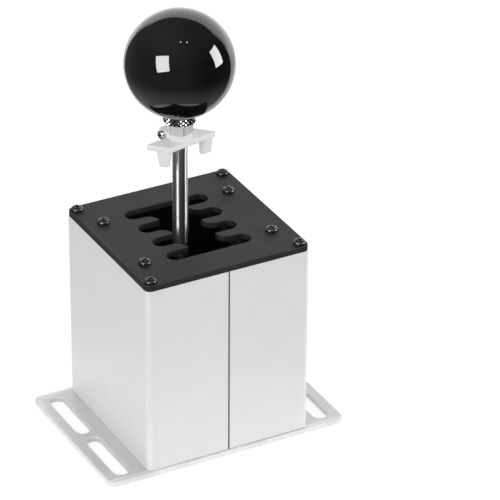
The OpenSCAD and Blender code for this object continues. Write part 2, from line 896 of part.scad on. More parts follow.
module sequential_lock() {
    color(nylon)
        at_lock()
            difference() {
                union() {
                    translate([0, -bar_front, bar_foot]) {
                        linear_extrude(bar_t)
                            polygon([
                                [-bar_tip, bar_w / 2], [bar_slant - bar_tip, -bar_w / 2],
                                [bar_tip, -bar_w / 2], [bar_tip - bar_slant, bar_w / 2]
                            ]);
                        peg(bar_slant - bar_tip + peg_inset, left_peg_root, left_peg_w);
                        peg(bar_tip - right_peg_in - right_peg_w, right_peg_root, right_peg_w);
                    }
                    translate([-clamp_w / 2, 0, bar_foot])
                        cube([clamp_w, clamp_reach, bar_t + clamp_h]);
                    translate([0, 0, bar_foot]) cylinder(d = clamp_w, h = bar_t + clamp_h);
                }
                translate([0, 0, bar_foot - 1])
                    cylinder(r = lever_r + running_fit, h = bar_t + clamp_h + 2);
                translate([-clamp_slit / 2, 0, bar_foot - 1])
                    cube([clamp_slit, 2 * clamp_reach, bar_t + clamp_h + 2]);
                translate([0, clamp_screw_y, clamp_screw_z]) {
                    rotate([0, 90, 0])
                        cylinder(r = small_r + seat_fit, h = clamp_w + 1, center = true);
                    // Pockets in the bar for the clamp screw's head and for its nut and tip
                    translate([-clamp_w / 2, 0, 0])
                        rotate([0, -90, 0])
                            cylinder(d = clamp_head_d + 2 * hole_clearance, h = clamp_head_h + end_play);
                    translate([clamp_w / 2, 0, 0])
                        rotate([0, 90, 0])
                            cylinder(
                                r = clamp_nut_af / sqrt(3) + hole_clearance,
                                h = clamp_nut_h + clamp_tip + end_play
                            );
                }
            }
}

module lock_clamp_screw() {
    color(chrome)
        at_lock()
            translate([-clamp_w / 2, clamp_screw_y, clamp_screw_z])
                rotate([0, -90, 0])
                    pan_screw(
                        small_screw_d, clamp_w + clamp_nut_h + clamp_tip,
                        clamp_head_d, clamp_head_h, 30
                    );
}

module lock_clamp_nut() {
    color(chrome)
        at_lock()
            translate([clamp_w / 2, clamp_screw_y, clamp_screw_z])
                rotate([0, 90, 0]) hex_nut(clamp_nut_af, clamp_nut_h, small_r + seat_fit);
}

// Electronics

module sensor_board() {
    color(board_green)
        difference() {
            translate([board_x, 0, board_foot]) linear_extrude(board_t) rounded_rect(board_w, board_d, 2);
            translate([0, 0, board_foot - 1])
                at_board_screws() cylinder(r = small_r + hole_clearance, h = board_t + 2);
        }
}

module board_spacers() {
    color(brass)
        translate([0, 0, base_t])
            at_board_screws() ring(small_r + seat_fit, spacer_d / 2, spacer_h);
}

module board_screws() {
    color(steel)
        translate([0, 0, board_top])
            at_board_screws()
                pan_screw(
                    small_screw_d, board_top - blind_floor - end_play,
                    clamp_head_d, clamp_head_h, 10
                );
}

// A sensor under the magnet at both ends of each lane's throw
module hall_sensors() {
    body = [1.6, 3, 1];
    leg = [2.6, 0.4, 0.3];
    leg_pitch = 0.95;
    color(satin_black)
        for (s = [-1, 1], y = lane_ys)
            translate([s * sensor_reach, y, board_top]) {
                translate([-body[0] / 2, -body[1] / 2, chip_lift]) cube(body);
                for (k = [-1 : 1])
                    translate([-leg[0] / 2, k * leg_pitch - leg[1] / 2, 0]) cube(leg);
            }
}

module controller_chip() {
    body = [10, 10, 1.4];
    pin = [2, 0.4, 0.3];
    pin_pitch = 1;
    color(satin_black)
        translate([board_x - board_w / 3, 0, board_top]) {
            translate([-body[0] / 2, -body[1] / 2, chip_lift]) cube(body);
            for (turn = [0, 90, 180, 270], k = [-4 : 4])
                rotate([0, 0, turn])
                    translate([(body[0] - pin[0]) / 2, k * pin_pitch - pin[1] / 2, 0]) cube(pin);
        }
}

module usb_socket() {
    mouth = [10, 8.45, 7.78];
    tongue = [9, 5.6, 3.2];
    tongue_sink = 1;
    color(steel)
        translate([socket_front, 0, board_top + socket_h / 2]) {
            difference() {
                translate([-socket_len, -socket_w / 2, -socket_h / 2])
                    cube([socket_len, socket_w, socket_h]);
                translate([-mouth[0], -mouth[1] / 2, -mouth[2] / 2])
                    cube([mouth[0] + 1, mouth[1], mouth[2]]);
            }
            translate([-tongue[0] - tongue_sink, -tongue[1] / 2, -tongue[2] / 2])
                cube(tongue);
        }
}

echo(str("least gap in the left spring ", coil_gap(left_coil[0], left_coil[1])));
echo(str("least gap in the right spring ", coil_gap(right_coil[0], right_coil[1])));

base_plate();
rear_channel();
front_channel();
base_screws();
gate_plate();
gate_corner_screws();
gate_inner_screws();
hanger_nuts();
left_hanger();
right_hanger();
tie_rods();
cross_shaft();
shaft_clips();
shaft_washers();
left_spring();
right_spring();
sensor_board();
board_spacers();
board_screws();
hall_sensors();
controller_chip();
usb_socket();
carriage_bush();
carriage_ring();
friction_washers();
lever_hub();
hub_pin();
shift_lever();
sensing_magnet();
jam_nut();
knurled_collar();
knob_insert();
ball_knob();
sequential_lock();
lock_clamp_screw();
lock_clamp_nut();
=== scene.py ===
"""The looks of a gear shifter for a driving rig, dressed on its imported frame.

Sizes are in metres, and a number times MM is a size in millimetres. +X is the shift direction,
+Y runs across the lanes and +Z is up. The origin is the middle of the base plate's underside.
"""

import json
import logging
import math
from dataclasses import dataclass
from enum import Enum
from itertools import chain
from typing import Any, Sequence

import bmesh
import bpy
import numpy as np
from mathutils import Matrix, Vector
from mathutils.geometry import tessellate_polygon


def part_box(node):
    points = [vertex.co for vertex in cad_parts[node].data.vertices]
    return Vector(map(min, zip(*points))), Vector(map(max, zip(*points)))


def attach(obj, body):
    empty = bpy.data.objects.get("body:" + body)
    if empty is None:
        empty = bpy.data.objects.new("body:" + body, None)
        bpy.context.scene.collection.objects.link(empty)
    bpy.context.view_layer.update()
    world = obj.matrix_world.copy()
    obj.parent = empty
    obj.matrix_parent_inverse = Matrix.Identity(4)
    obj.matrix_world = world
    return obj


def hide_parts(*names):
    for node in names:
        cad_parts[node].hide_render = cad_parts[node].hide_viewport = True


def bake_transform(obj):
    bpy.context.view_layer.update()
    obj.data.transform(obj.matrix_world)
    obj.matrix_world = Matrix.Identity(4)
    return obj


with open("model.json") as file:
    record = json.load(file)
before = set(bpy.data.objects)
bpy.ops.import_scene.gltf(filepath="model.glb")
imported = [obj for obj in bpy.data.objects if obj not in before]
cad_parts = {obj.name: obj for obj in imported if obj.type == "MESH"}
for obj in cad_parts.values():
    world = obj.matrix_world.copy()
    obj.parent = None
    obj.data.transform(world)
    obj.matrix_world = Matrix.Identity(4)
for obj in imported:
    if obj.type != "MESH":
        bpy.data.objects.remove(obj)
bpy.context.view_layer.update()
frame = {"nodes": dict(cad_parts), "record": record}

LOG = logging.getLogger("shifter")
MM = 0.001
# Points nearer to each other than this are one point
MERGE = 1e-6
# Nodes that show through the gate and take the near black hub finish, whatever their slot, as painted
# shade within the body
BLACKENED = ("tie_rods",)
# The signs of a plate's four quarters
SIGNS = np.array([(1, 1), (-1, 1), (-1, -1), (1, -1)])
# Carries a shape's own (x, y, z) to (z, x, y), so that its height runs along +X
ALONG_X = Matrix(((0, 0, 1, 0), (1, 0, 0, 0), (0, 1, 0, 0), (0, 0, 0, 1)))

Array = np.ndarray
Colour = tuple[float, float, float]
Point2 = Sequence[float]


class Body(Enum):
    """The bodies of the frame that a piece can ride on."""

    HOUSING = "housing"
    CARRIAGE = "carriage"
    LEVER = "lever"
    LOCK = "lock"


class Slot(Enum):
    """The finishes of the shifter, by the record's names for them."""

    BASE_ALUMINIUM = "base_aluminium"
    BODY_ALUMINIUM = "body_aluminium"
    GATE_BLACK = "gate_black"
    SCREW_BLACK = "screw_black"
    ZINC_STEEL = "zinc_steel"
    SHEET_STEEL = "sheet_steel"
    GROUND_STEEL = "ground_steel"
    SPRING_STEEL = "spring_steel"
    HUB_STEEL = "hub_steel"
    BUSH_BRASS = "bush_brass"
    FRICTION_FIBRE = "friction_fibre"
    BOARD_GREEN = "board_green"
    CHIP_BLACK = "chip_black"
    MAGNET_NICKEL = "magnet_nickel"
    LEVER_CHROME = "lever_chrome"
    KNOB_GLOSS = "knob_gloss"
    LOCK_NYLON = "lock_nylon"


@dataclass(frozen=True)
class NodeBox:
    """The room that a node of the frame takes at rest."""

    low: Array
    high: Array

    @classmethod
    def of(cls, node: str) -> "NodeBox":
        """The room of the named node."""
        low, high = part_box(node)
        return cls(np.array(low), np.array(high))

    @property
    def size(self) -> Array:
        """Length, depth and height."""
        return self.high - self.low

    @property
    def centre(self) -> Array:
        """The middle of the room."""
        return (self.high + self.low) / 2


# Outlines: arrays of points in a plane, anticlockwise


def arc(centre: Point2, radius: float, start: float, end: float, steps: int = 12) -> Array:
    """Points on a circle: centre + radius (cos a, sin a), with a even from start to end.

    Args:
        centre: The circle's middle.
        radius: Its radius.
        start: First angle in degrees.
        end: Last angle in degrees.
        steps: Number of chords.

    Returns:
        The points, steps + 1 of them.
    """
    turn = np.radians(np.linspace(start, end, steps + 1))
    return np.array(centre) + radius * np.stack([np.cos(turn), np.sin(turn)], axis=-1)


def circle(centre: Point2, radius: float, steps: int = 48) -> Array:
    """A closed circle, without its first point repeated."""
    return arc(centre, radius, 0, 360, steps)[:-1]


def slot_outline(centre: Point2, length: float, width: float, steps: int = 16) -> Array:
    """A slot along Y: two half circles joined by straight sides.

    Args:
        centre: The slot's middle.
        length: Its length over both ends.
        width: Its width.
        steps: Chords of each half circle.

    Returns:
        The outline's points.
    """
    reach = (length - width) / 2
    far = arc((0, reach), width / 2, 0, 180, steps)
    near = arc((0, -reach), width / 2, 180, 360, steps)
    return np.array(centre) + np.concatenate([far, near])


def filleted(corners: Array, radius: float, steps: int = 6) -> Array:
    """Rounds each corner of a polygon with an arc that touches both of its sides.

    With u and v the unit vectors from a corner to its neighbours, and half of the angle between
    them h, the arc's centre lies on u + v at radius / sin h from the corner, and the arc touches
    the sides at radius / tan h from it.

    Args:
        corners: The polygon's corners.
        radius: The arcs' radius.
        steps: Chords of each arc.

    Returns:
        The rounded outline.
    """
    back = np.roll(corners, 1, axis=0) - corners
    ahead = np.roll(corners, -1, axis=0) - corners
    back /= np.linalg.norm(back, axis=1, keepdims=True)
    ahead /= np.linalg.norm(ahead, axis=1, keepdims=True)
    half = np.arccos(np.clip(np.sum(back * ahead, axis=1, keepdims=True), -1, 1)) / 2
    middle = back + ahead
    middle /= np.linalg.norm(middle, axis=1, keepdims=True)
    centre = corners + middle * radius / np.sin(half)
    first = corners + back * radius / np.tan(half) - centre
    last = corners + ahead * radius / np.tan(half) - centre
    start = np.arctan2(first[:, 1], first[:, 0])
    sweep = np.arctan2(last[:, 1], last[:, 0]) - start
    sweep = (sweep + np.pi) % (2 * np.pi) - np.pi
    turn = start[:, None] + sweep[:, None] * np.linspace(0, 1, steps + 1)
    points = centre[:, None] + radius * np.stack([np.cos(turn), np.sin(turn)], axis=-1)
    return points.reshape(-1, 2)


def rectangle(low: Point2, high: Point2, radius: float, steps: int = 8) -> Array:
    """A rectangle between two corners, with round corners."""
    corners = np.array([low, (high[0], low[1]), high, (low[0], high[1])], float)
    return filleted(corners, radius, steps)


def supported(outline: Array, reach: float = 0.25 * MM) -> Array:
    """Adds a point at reach from both ends of each long side, so that shading stays there.

    Args:
        outline: The points of a closed outline.
        reach: From a side's ends to the new points.

    Returns:
        The same outline with more points.
    """
    step = np.roll(outline, -1, axis=0) - outline
    length = np.linalg.norm(step, axis=1, keepdims=True)
    unit = step / np.maximum(length, MERGE)
    points = np.stack([outline, outline + unit * reach, outline + unit * (length - reach)], axis=1)
    is_long = length[:, 0] > 4 * reach
    return points[np.stack([np.ones_like(is_long), is_long, is_long], axis=1)]


def turned(outline: Array, degrees: float) -> Array:
    """An outline turned about the origin."""
    c, s = math.cos(math.radians(degrees)), math.sin(math.radians(degrees))
    return outline @ np.array([[c, s], [-s, c]])


def into_material(outline: Array) -> Array:
    """Mitred normals on the left of an outline: (n1 + n2) / (1 + n1 . n2) of its two sides.

    Args:
        outline: The points of a closed outline.

    Returns:
        One normal for each point.
    """
    step = np.roll(outline, -1, axis=0) - outline
    unit = step / np.linalg.norm(step, axis=1, keepdims=True)
    after = np.stack([-unit[:, 1], unit[:, 0]], axis=1)
    before = np.roll(after, 1, axis=0)
    return (before + after) / (1 + np.sum(before * after, axis=1, keepdims=True))


@dataclass(frozen=True)
class Rim:
    """A wall's profile, row by row from its foot up.

    Attributes:
        inset: How far each row lies in from the outline.
        height: Height of each row.
        wear: How much of the edge colour each row gets, 0 to 1.
        lost: Share of the outline's reach along one way that each row loses.
        way: That way, a unit vector.
    """

    inset: Array
    height: Array
    wear: Array
    lost: Array
    way: Point2 = (0.0, 1.0)

    @classmethod
    def rounded(cls, low: float, high: float, radius: float, steps: int = 4) -> "Rim":
        """A straight wall with a quarter round at its foot and its top.

        At turn a of a quarter round the wall lies radius (1 - sin a) in from its outline and
        radius (1 - cos a) from its end, and its edge mark there is sin 2a.

        Args:
            low: Height of the wall's foot.
            high: Height of its top.
            radius: Radius of the quarter rounds.
            steps: Chords of each quarter round.

        Returns:
            The profile.
        """
        turn = np.linspace(0, np.pi / 2, steps + 1)
        inset = radius * (1 - np.sin(turn))
        rise = radius * (1 - np.cos(turn))
        wear = np.sin(2 * turn)
        support = min(radius, (high - low) / 2 - radius) / 2
        straight = np.array([low + radius + support, high - radius - support])
        inset = np.concatenate([inset, [0, 0], inset[::-1]])
        return cls(
            inset,
            np.concatenate([low + rise, straight, high - rise[::-1]]),
            np.concatenate([wear, [0, 0], wear[::-1]]),
            np.zeros_like(inset),
        )

    @classmethod
    def steps(cls, inset: Sequence[float], height: Sequence[float]) -> "Rim":
        """A wall through the given insets and heights, with no edge mark."""
        flat = np.zeros(len(inset))
        return cls(np.array(inset, float), np.array(height, float), flat, flat)

    def drafted(self, start: float, kept: float, way: Point2) -> "Rim":
        """The same wall, narrowed along one way from a height down to its foot.

        Args:
            start: The height under which it narrows.
            kept: The share of its length that is left at the foot.
            way: The direction that it narrows along.

        Returns:
            The narrowed wall.
        """
        share = np.clip((start - self.height) / (start - self.height[0]), 0, 1)
        return Rim(self.inset, self.height, self.wear, (1 - kept) * share, way)

    def rings(self, outline: Array) -> Array:
        """The wall's points, one ring of the outline for each row.

        A point goes back by the row's lost share of its reach along the way, and in by the row's
        inset along its normal.

        Args:
            outline: The points of a closed outline.

        Returns:
            Rows by points by 3.
        """
        away = (outline - outline.mean(axis=0))[:, 1:] / self.way[1] * np.array(self.way)
        flat = outline - self.lost[:, None, None] * away
        flat = flat + self.inset[:, None, None] * into_material(outline)
        height = np.broadcast_to(self.height[:, None, None], flat.shape[:2] + (1,))
        return np.concatenate([flat, height], axis=2)


def sharpen(mesh: bpy.types.Mesh, degrees: float) -> None:
    """Makes edges sharp past an angle, and leaves flat faces flat.

    Args:
        mesh: The mesh to mark.
        degrees: The angle.
    """
    smooth = np.zeros(len(mesh.polygons), bool)
    mesh.polygons.foreach_get("use_smooth", smooth)
    mesh.set_sharp_from_angle(angle=math.radians(degrees))
    mesh.polygons.foreach_set("use_smooth", smooth)


class Skin:
    """A closed surface put together from grids and flat caps, with marks for edge colour and painted
    shade.
    """

    def __init__(self) -> None:
        """Starts with no surface."""
        self._points: list[Array] = []
        self._faces: list[Array] = []
        self._marks: dict[str, list[Array]] = {"wear": [], "inside": []}
        self._smooth: list[Array] = []
        self._count = 0

    def _add(self, points: Array, faces: Array, smooth: bool, **marks: Array) -> None:
        """Adds points and their faces.

        Args:
            points: The points.
            faces: For each face, the places of its corners among these points.
            smooth: Whether the faces are shaded smooth.
            marks: What the points are marked with, by the marks' names.
        """
        self._points.append(points)
        self._faces.append(faces + self._count)
        self._smooth.append(np.full(len(faces), smooth))
        for name, values in self._marks.items():
            values.append(np.broadcast_to(marks.get(name, 0.0), len(points)))
        self._count += len(points)

    def grid(self, points: Array, wear: Array | float = 0.0, inside: Array | float = 0.0,
             ring: bool = False) -> None:
        """Adds a grid of points whose columns run round and meet.

        Args:
            points: Rows by columns by 3.
            wear: Share of the edge colour at each point, 0 to 1, partly painted highlight.
            inside: How much painted shade each point gets, 0 to 1, such as 1 on the body's inner
                walls.
            ring: Whether the last row joins the first.
        """
        rows, columns = points.shape[:2]
        index = np.arange(rows * columns).reshape(rows, columns)
        upper = np.roll(index, -1, axis=0)
        faces = np.stack(
            [index, np.roll(index, -1, axis=1), np.roll(upper, -1, axis=1), upper], axis=-1
        )
        faces = faces if ring else faces[:-1]
        shape = (rows, columns)
        self._add(
            points.reshape(-1, 3),
            faces.reshape(-1, 4),
            True,
            wear=np.broadcast_to(wear, shape).reshape(-1),
            inside=np.broadcast_to(inside, shape).reshape(-1),
        )

    def cap(self, loops: Sequence[Array]) -> None:
        """Adds a flat face within the first loop and outside of the others."""
        faces = np.array(tessellate_polygon([loop.tolist() for loop in loops]))
        self._add(np.concatenate(loops), faces, False)

    def prism(self, outline: Array, rim: Rim, holes: Sequence[tuple[Array, Rim]] = (),
              inside: Array | float = 0.0, worn_and_lit: Array | float = 0.0) -> None:
        """Adds an upright plate with holes.

        Args:
            outline: The plate's outline.
            rim: The profile of its outer wall.
            holes: The outline and the profile of each hole.
            inside: How much painted shade each point of the outer wall gets, as on inner walls.
            worn_and_lit: The least share of the edge colour on the outer wall, a painted highlight.
        """
        walls = [(outline, rim)] + [(hole[::-1], hole_rim) for hole, hole_rim in holes]
        rings = [profile.rings(loop) for loop, profile in walls]
        for k, ((_, profile), points) in enumerate(zip(walls, rings)):
            wear = np.maximum(profile.wear[:, None], 0.0 if k else worn_and_lit)
            self.grid(points, wear=wear, inside=0.0 if k else inside)
        self.cap([points[0] for points in rings])
        self.cap([points[-1] for points in rings])

    def placed(self, place: Matrix) -> None:
        """Moves everything added so far."""
        turn = np.array(place.to_3x3())
        self._points = [points @ turn.T + np.array(place.translation) for points in self._points]

    def join(self, other: "Skin") -> None:
        """Adds another skin to this one.

        Args:
            other: The skin whose surfaces are added.
        """
        self._points += other._points
        self._faces += [faces + self._count for faces in other._faces]
        self._smooth += other._smooth
        for name, values in self._marks.items():
            values += other._marks[name]
        self._count += other._count

    def build(self, name: str, sharp: float = 35.0) -> bpy.types.Object:
        """Makes the mesh: doubles merged, faces turned outwards, edges sharp past an angle.

        Args:
            name: Name of the object.
            sharp: Angle in degrees past which an edge is not shaded smooth.

        Returns:
            The object, at the origin.
        """
        mesh = bpy.data.meshes.new(name)
        faces = list(chain.from_iterable(part.tolist() for part in self._faces))
        mesh.from_pydata(np.concatenate(self._points), [], faces)
        for mark, values in self._marks.items():
            layer = mesh.attributes.new(mark, "FLOAT", "POINT")
            layer.data.foreach_set("value", np.concatenate(values).astype(np.float32))
        mesh.polygons.foreach_set("use_smooth", np.concatenate(self._smooth))
        merged = bmesh.new()
        merged.from_mesh(mesh)
        bmesh.ops.remove_doubles(merged, verts=merged.verts, dist=MERGE)
        bmesh.ops.recalc_face_normals(merged, faces=merged.faces)
        merged.to_mesh(mesh)
        merged.free()
        sharpen(mesh, sharp)
        piece = bpy.data.objects.new(name, mesh)
        bpy.context.scene.collection.objects.link(piece)
        return piece


def revolved(radius: Array, height: Array, centre: Point2, columns: int) -> Array:
    """A profile carried round an upright axis: (r cos a, r sin a, z) about the centre.

    Args:
        radius: The profile's radii, or one row of radii per height.
        height: Its heights.
        centre: Where the axis stands.
        columns: Points round the axis.

    Returns:
        Rows by columns by 3.
    """
    turn = np.linspace(0, 2 * np.pi, columns, endpoint=False)
    radius = radius[:, None] if radius.ndim == 1 else radius
    height = height[:, None] if height.ndim == 1 else height
    x = centre[0] + radius * np.cos(turn)
    y = centre[1] + radius * np.sin(turn)
    return np.stack([x, y, np.broadcast_to(height, x.shape)], axis=-1)


def applied(piece: bpy.types.Object) -> bpy.types.Object:
    """Bakes an object's modifiers into its mesh.

    Args:
        piece: The object.

    Returns:
        The same object.
    """
    graph = bpy.context.evaluated_depsgraph_get()
    mesh = bpy.data.meshes.new_from_object(piece.evaluated_get(graph))
    old = piece.data
    piece.modifiers.clear()
    piece.data = mesh
    bpy.data.meshes.remove(old)
    mesh.name = piece.name
    return piece


def carved(piece: bpy.types.Object, tool: bpy.types.Object, sharp: float = 40.0
           ) -> bpy.types.Object:
    """Cuts a closed tool out of a closed piece, and takes the tool away.

    Args:
        piece: The piece.
        tool: What is cut out of it.
        sharp: Angle in degrees past which an edge is not shaded smooth.

    Returns:
        The same piece.
    """
    cut = piece.modifiers.new("cut", "BOOLEAN")
    cut.operation = "DIFFERENCE"
    cut.solver = "EXACT"
    cut.object = tool
    applied(piece)
    sharpen(piece.data, sharp)
    bpy.data.objects.remove(tool)
    return piece


# Finishes


# The spans that one noise, the sum of two, and a mark times that sum are read over
ONE_NOISE = (0.3, 0.7)
TWO_NOISES = (0.6, 1.4)
RUBBED_AND_LIT = (0.35, 1.1)


class Graph:
    """A node tree, built by adding nodes and feeding their sockets."""

    def __init__(self, owner: bpy.types.Material | bpy.types.World, shader: str = "Principled BSDF"
                 ) -> None:
        """Starts from the plain shader of a material or a world.

        Args:
            owner: The material or the world.
            shader: Name of its shader node.
        """
        owner.use_nodes = True
        self.tree = owner.node_tree
        self.shader = self.tree.nodes[shader]

    def feed(self, node: bpy.types.Node, inputs: dict[int | str, Any]) -> None:
        """Links or sets a node's inputs.

        Args:
            node: The node.
            inputs: A socket or a plain value for each input, by its name or place.
        """
        for key, value in inputs.items():
            if isinstance(value, bpy.types.NodeSocket):
                self.tree.links.new(value, node.inputs[key])
            else:
                node.inputs[key].default_value = value

    def add(self, kind: str, inputs: dict[int | str, Any], **settings: Any) -> bpy.types.Node:
        """Adds a node.

        Args:
            kind: The node's type.
            inputs: A socket or a plain value for each input, by its name or place.
            settings: The node's own settings.

        Returns:
            The node.
        """
        node = self.tree.nodes.new(kind)
        for key, value in settings.items():
            setattr(node, key, value)
        self.feed(node, inputs)
        return node

    def place(self, size: float, drawn: Sequence[float] = (1, 1, 1)) -> bpy.types.NodeSocket:
        """Object coordinates in steps of a size.

        Args:
            size: The step.
            drawn: How far it is drawn out along each axis.

        Returns:
            The coordinates.
        """
        place = self.add("ShaderNodeTexCoord", {})
        scale = tuple(1 / (size * length) for length in drawn)
        inputs = {"Vector": place.outputs["Object"], "Scale": scale}
        return self.add("ShaderNodeMapping", inputs).outputs["Vector"]

    def noise(self, size: float, drawn: Sequence[float] = (1, 1, 1), detail: float = 3.0
              ) -> bpy.types.NodeSocket:
        """Noise with lumps of about a size, drawn out along each axis."""
        inputs = {"Vector": self.place(size, drawn), "Scale": 1.0, "Detail": detail}
        return self.add("ShaderNodeTexNoise", inputs).outputs["Fac"]

    def span(self, value: bpy.types.NodeSocket, source: Sequence[float], target: Sequence[float]
             ) -> bpy.types.NodeSocket:
        """A value taken from one span to another, and held within it."""
        inputs = {0: value, 1: source[0], 2: source[1], 3: target[0], 4: target[1]}
        return self.add("ShaderNodeMapRange", inputs).outputs[0]

    def maths(self, operation: str, first: Any, second: Any = 0.0) -> bpy.types.NodeSocket:
        """One sum of two values."""
        return self.add("ShaderNodeMath", {0: first, 1: second}, operation=operation).outputs[0]

    def vector(self, operation: str, *inputs: Any) -> bpy.types.Node:
        """One operation on vectors."""
        return self.add("ShaderNodeVectorMath", dict(enumerate(inputs)), operation=operation)

    def mark(self, name: str) -> bpy.types.NodeSocket:
        """A mark on the piece's points, or 0 where it has none."""
        return self.add("ShaderNodeAttribute", {}, attribute_name=name).outputs["Fac"]

    def mix(self, share: Any, first: Any, second: Any) -> bpy.types.NodeSocket:
        """A colour between two colours."""
        inputs = {0: share, 6: first, 7: second}
        return self.add("ShaderNodeMix", inputs, data_type="RGBA").outputs[2]

    def relief(self, height: bpy.types.NodeSocket, depth: float) -> None:
        """Puts bumps on the shader's normal.

        Args:
            height: Height of the bumps, 0 to 1.
            depth: Depth of the highest.
        """
        inputs = {"Height": height, "Distance": depth, "Strength": 1.0}
        bump = self.add("ShaderNodeBump", inputs)
        self.feed(self.shader, {"Normal": bump.outputs["Normal"]})


def opaque(colour: Colour) -> tuple[float, float, float, float]:
    """A colour with its alpha."""
    return (*colour, 1.0)


def tinted(colour: Colour, share: float) -> tuple[float, float, float, float]:
    """A colour made darker or lighter by a share of itself."""
    return opaque(tuple(min(1.0, part * share) for part in colour))


@dataclass(frozen=True)
class Finish:
    """How a material looks: its colour and gloss, the grain of its surface, its edge colour
    and its painted shade.

    Attributes:
        slot: The record's slot that it stands for.
        colour: The colour of the sound surface.
        roughness: The middle of its roughness.
        metallic: How metallic it is.
        ior: Its index of refraction.
        grain: Size of the fine grain.
        drawn: How far the grain is drawn out along each axis.
        depth: Depth of the grain.
        scatter: How far the roughness goes up and down.
        patch: Size of the cloudy patches.
        cloud: Share by which the patches are darker and lighter.
        worn_and_lit: The edge colour: scuffing on some finishes, painted highlight on the body and
            base.
        wear: How much of that colour shows there.
        painted_shade_colour: The colour of painted shade, where it is marked.
        polish: How far gloss is drawn out by polishing round the upright axis.
        glow: How much light goes into the material and out again.
    """

    slot: Slot
    colour: Colour
    roughness: float
    metallic: float = 0.0
    ior: float = 1.5
    grain: float = 0.3 * MM
    drawn: tuple[float, float, float] = (1, 1, 1)
    depth: float = 0.004 * MM
    scatter: float = 0.06
    patch: float = 14 * MM
    cloud: float = 0.06
    worn_and_lit: Colour = (0.8, 0.8, 0.8)
    wear: float = 0.0
    painted_shade_colour: Colour = (0.02, 0.02, 0.02)
    polish: float = 0.0
    glow: float = 0.0

    def material(self) -> bpy.types.Material:
        """The finish as a material, made once."""
        made = bpy.data.materials.get(self.name)
        return made or self._make()

    @property
    def name(self) -> str:
        """The material's name, other than the plain one that comes with the frame."""
        return f"{self.slot.value}_finish"

    def _make(self) -> bpy.types.Material:
        """Builds the node tree.

        Returns:
            The material.
        """
        made = bpy.data.materials.new(self.name)
        graph = Graph(made)
        grain = graph.noise(self.grain, self.drawn)
        patch = graph.noise(self.patch, detail=4.0)
        rough = graph.span(
            graph.maths("ADD", grain, patch),
            TWO_NOISES,
            (self.roughness - self.scatter, self.roughness + self.scatter),
        )
        graph.feed(graph.shader, {
            "Base Color": self._colour(graph, grain, patch),
            "Roughness": rough,
            "Metallic": self.metallic,
            "IOR": self.ior,
        })
        if self.polish:
            tangent = graph.add("ShaderNodeTangent", {}, direction_type="RADIAL", axis="Z")
            graph.feed(graph.shader, {
                "Anisotropic": self.polish,
                "Anisotropic Rotation": 0.25,
                "Tangent": tangent.outputs["Tangent"],
            })
        if self.glow:
            graph.feed(graph.shader, {
                "Subsurface Weight": self.glow,
                "Subsurface Radius": (1.0, 0.95, 0.85),
                "Subsurface Scale": 1.2 * MM,
            })
        graph.relief(grain, self.depth)
        return made

    def _colour(self, graph: Graph, grain: bpy.types.NodeSocket, patch: bpy.types.NodeSocket
                ) -> bpy.types.NodeSocket:
        """The colour: clouded in patches, lighter along edges by scuffing and painted highlight,
        and darker where painted shade is marked.

        Args:
            graph: The material's node tree.
            grain: The fine noise.
            patch: The coarse noise.

        Returns:
            The colour.
        """
        clouded = graph.mix(
            graph.span(patch, ONE_NOISE, (0, 1)),
            tinted(self.colour, 1 - self.cloud),
            tinted(self.colour, 1 + self.cloud),
        )
        # Edge colour: scuffing on the gate, screws and socket, a painted highlight on the body's and
        # base's edges
        if self.wear:
            rubbed_and_lit = graph.maths("MULTIPLY", graph.mark("wear"), graph.maths("ADD", grain, patch))
            share = graph.span(rubbed_and_lit, RUBBED_AND_LIT, (0, self.wear))
            clouded = graph.mix(share, clouded, opaque(self.worn_and_lit))
        # Painted shade: what is marked goes towards near black, in recesses, grooves, the seam and the
        # body's inner walls
        return graph.mix(graph.mark("inside"), clouded, opaque(self.painted_shade_colour))


@dataclass(frozen=True)
class BoardFinish(Finish):
    """Solder resist over copper tracks: a green board with lighter tracks.

    Attributes:
        cell: Size of the cells between the tracks.
        track: Distance from a cell's edge, in cells, over which a track ends.
        copper: The colour of a track.
    """

    cell: float = 8.4 * MM
    track: tuple[float, float] = (0.06, 0.09)
    copper: Colour = (0.10, 0.30, 0.16)

    def _colour(self, graph: Graph, grain: bpy.types.NodeSocket, patch: bpy.types.NodeSocket
                ) -> bpy.types.NodeSocket:
        """The colour: tracks where the edges of irregular cells run.

        Args:
            graph: The material's node tree.
            grain: The fine noise.
            patch: The coarse noise.

        Returns:
            The colour.
        """
        cells = graph.add(
            "ShaderNodeTexVoronoi",
            {"Vector": graph.place(self.cell), "Scale": 1.0, "Randomness": 0.7},
            feature="DISTANCE_TO_EDGE",
        )
        share = graph.span(cells.outputs["Distance"], self.track, (1, 0))
        plain = super()._colour(graph, grain, patch)
        return graph.mix(share, plain, opaque(self.copper))


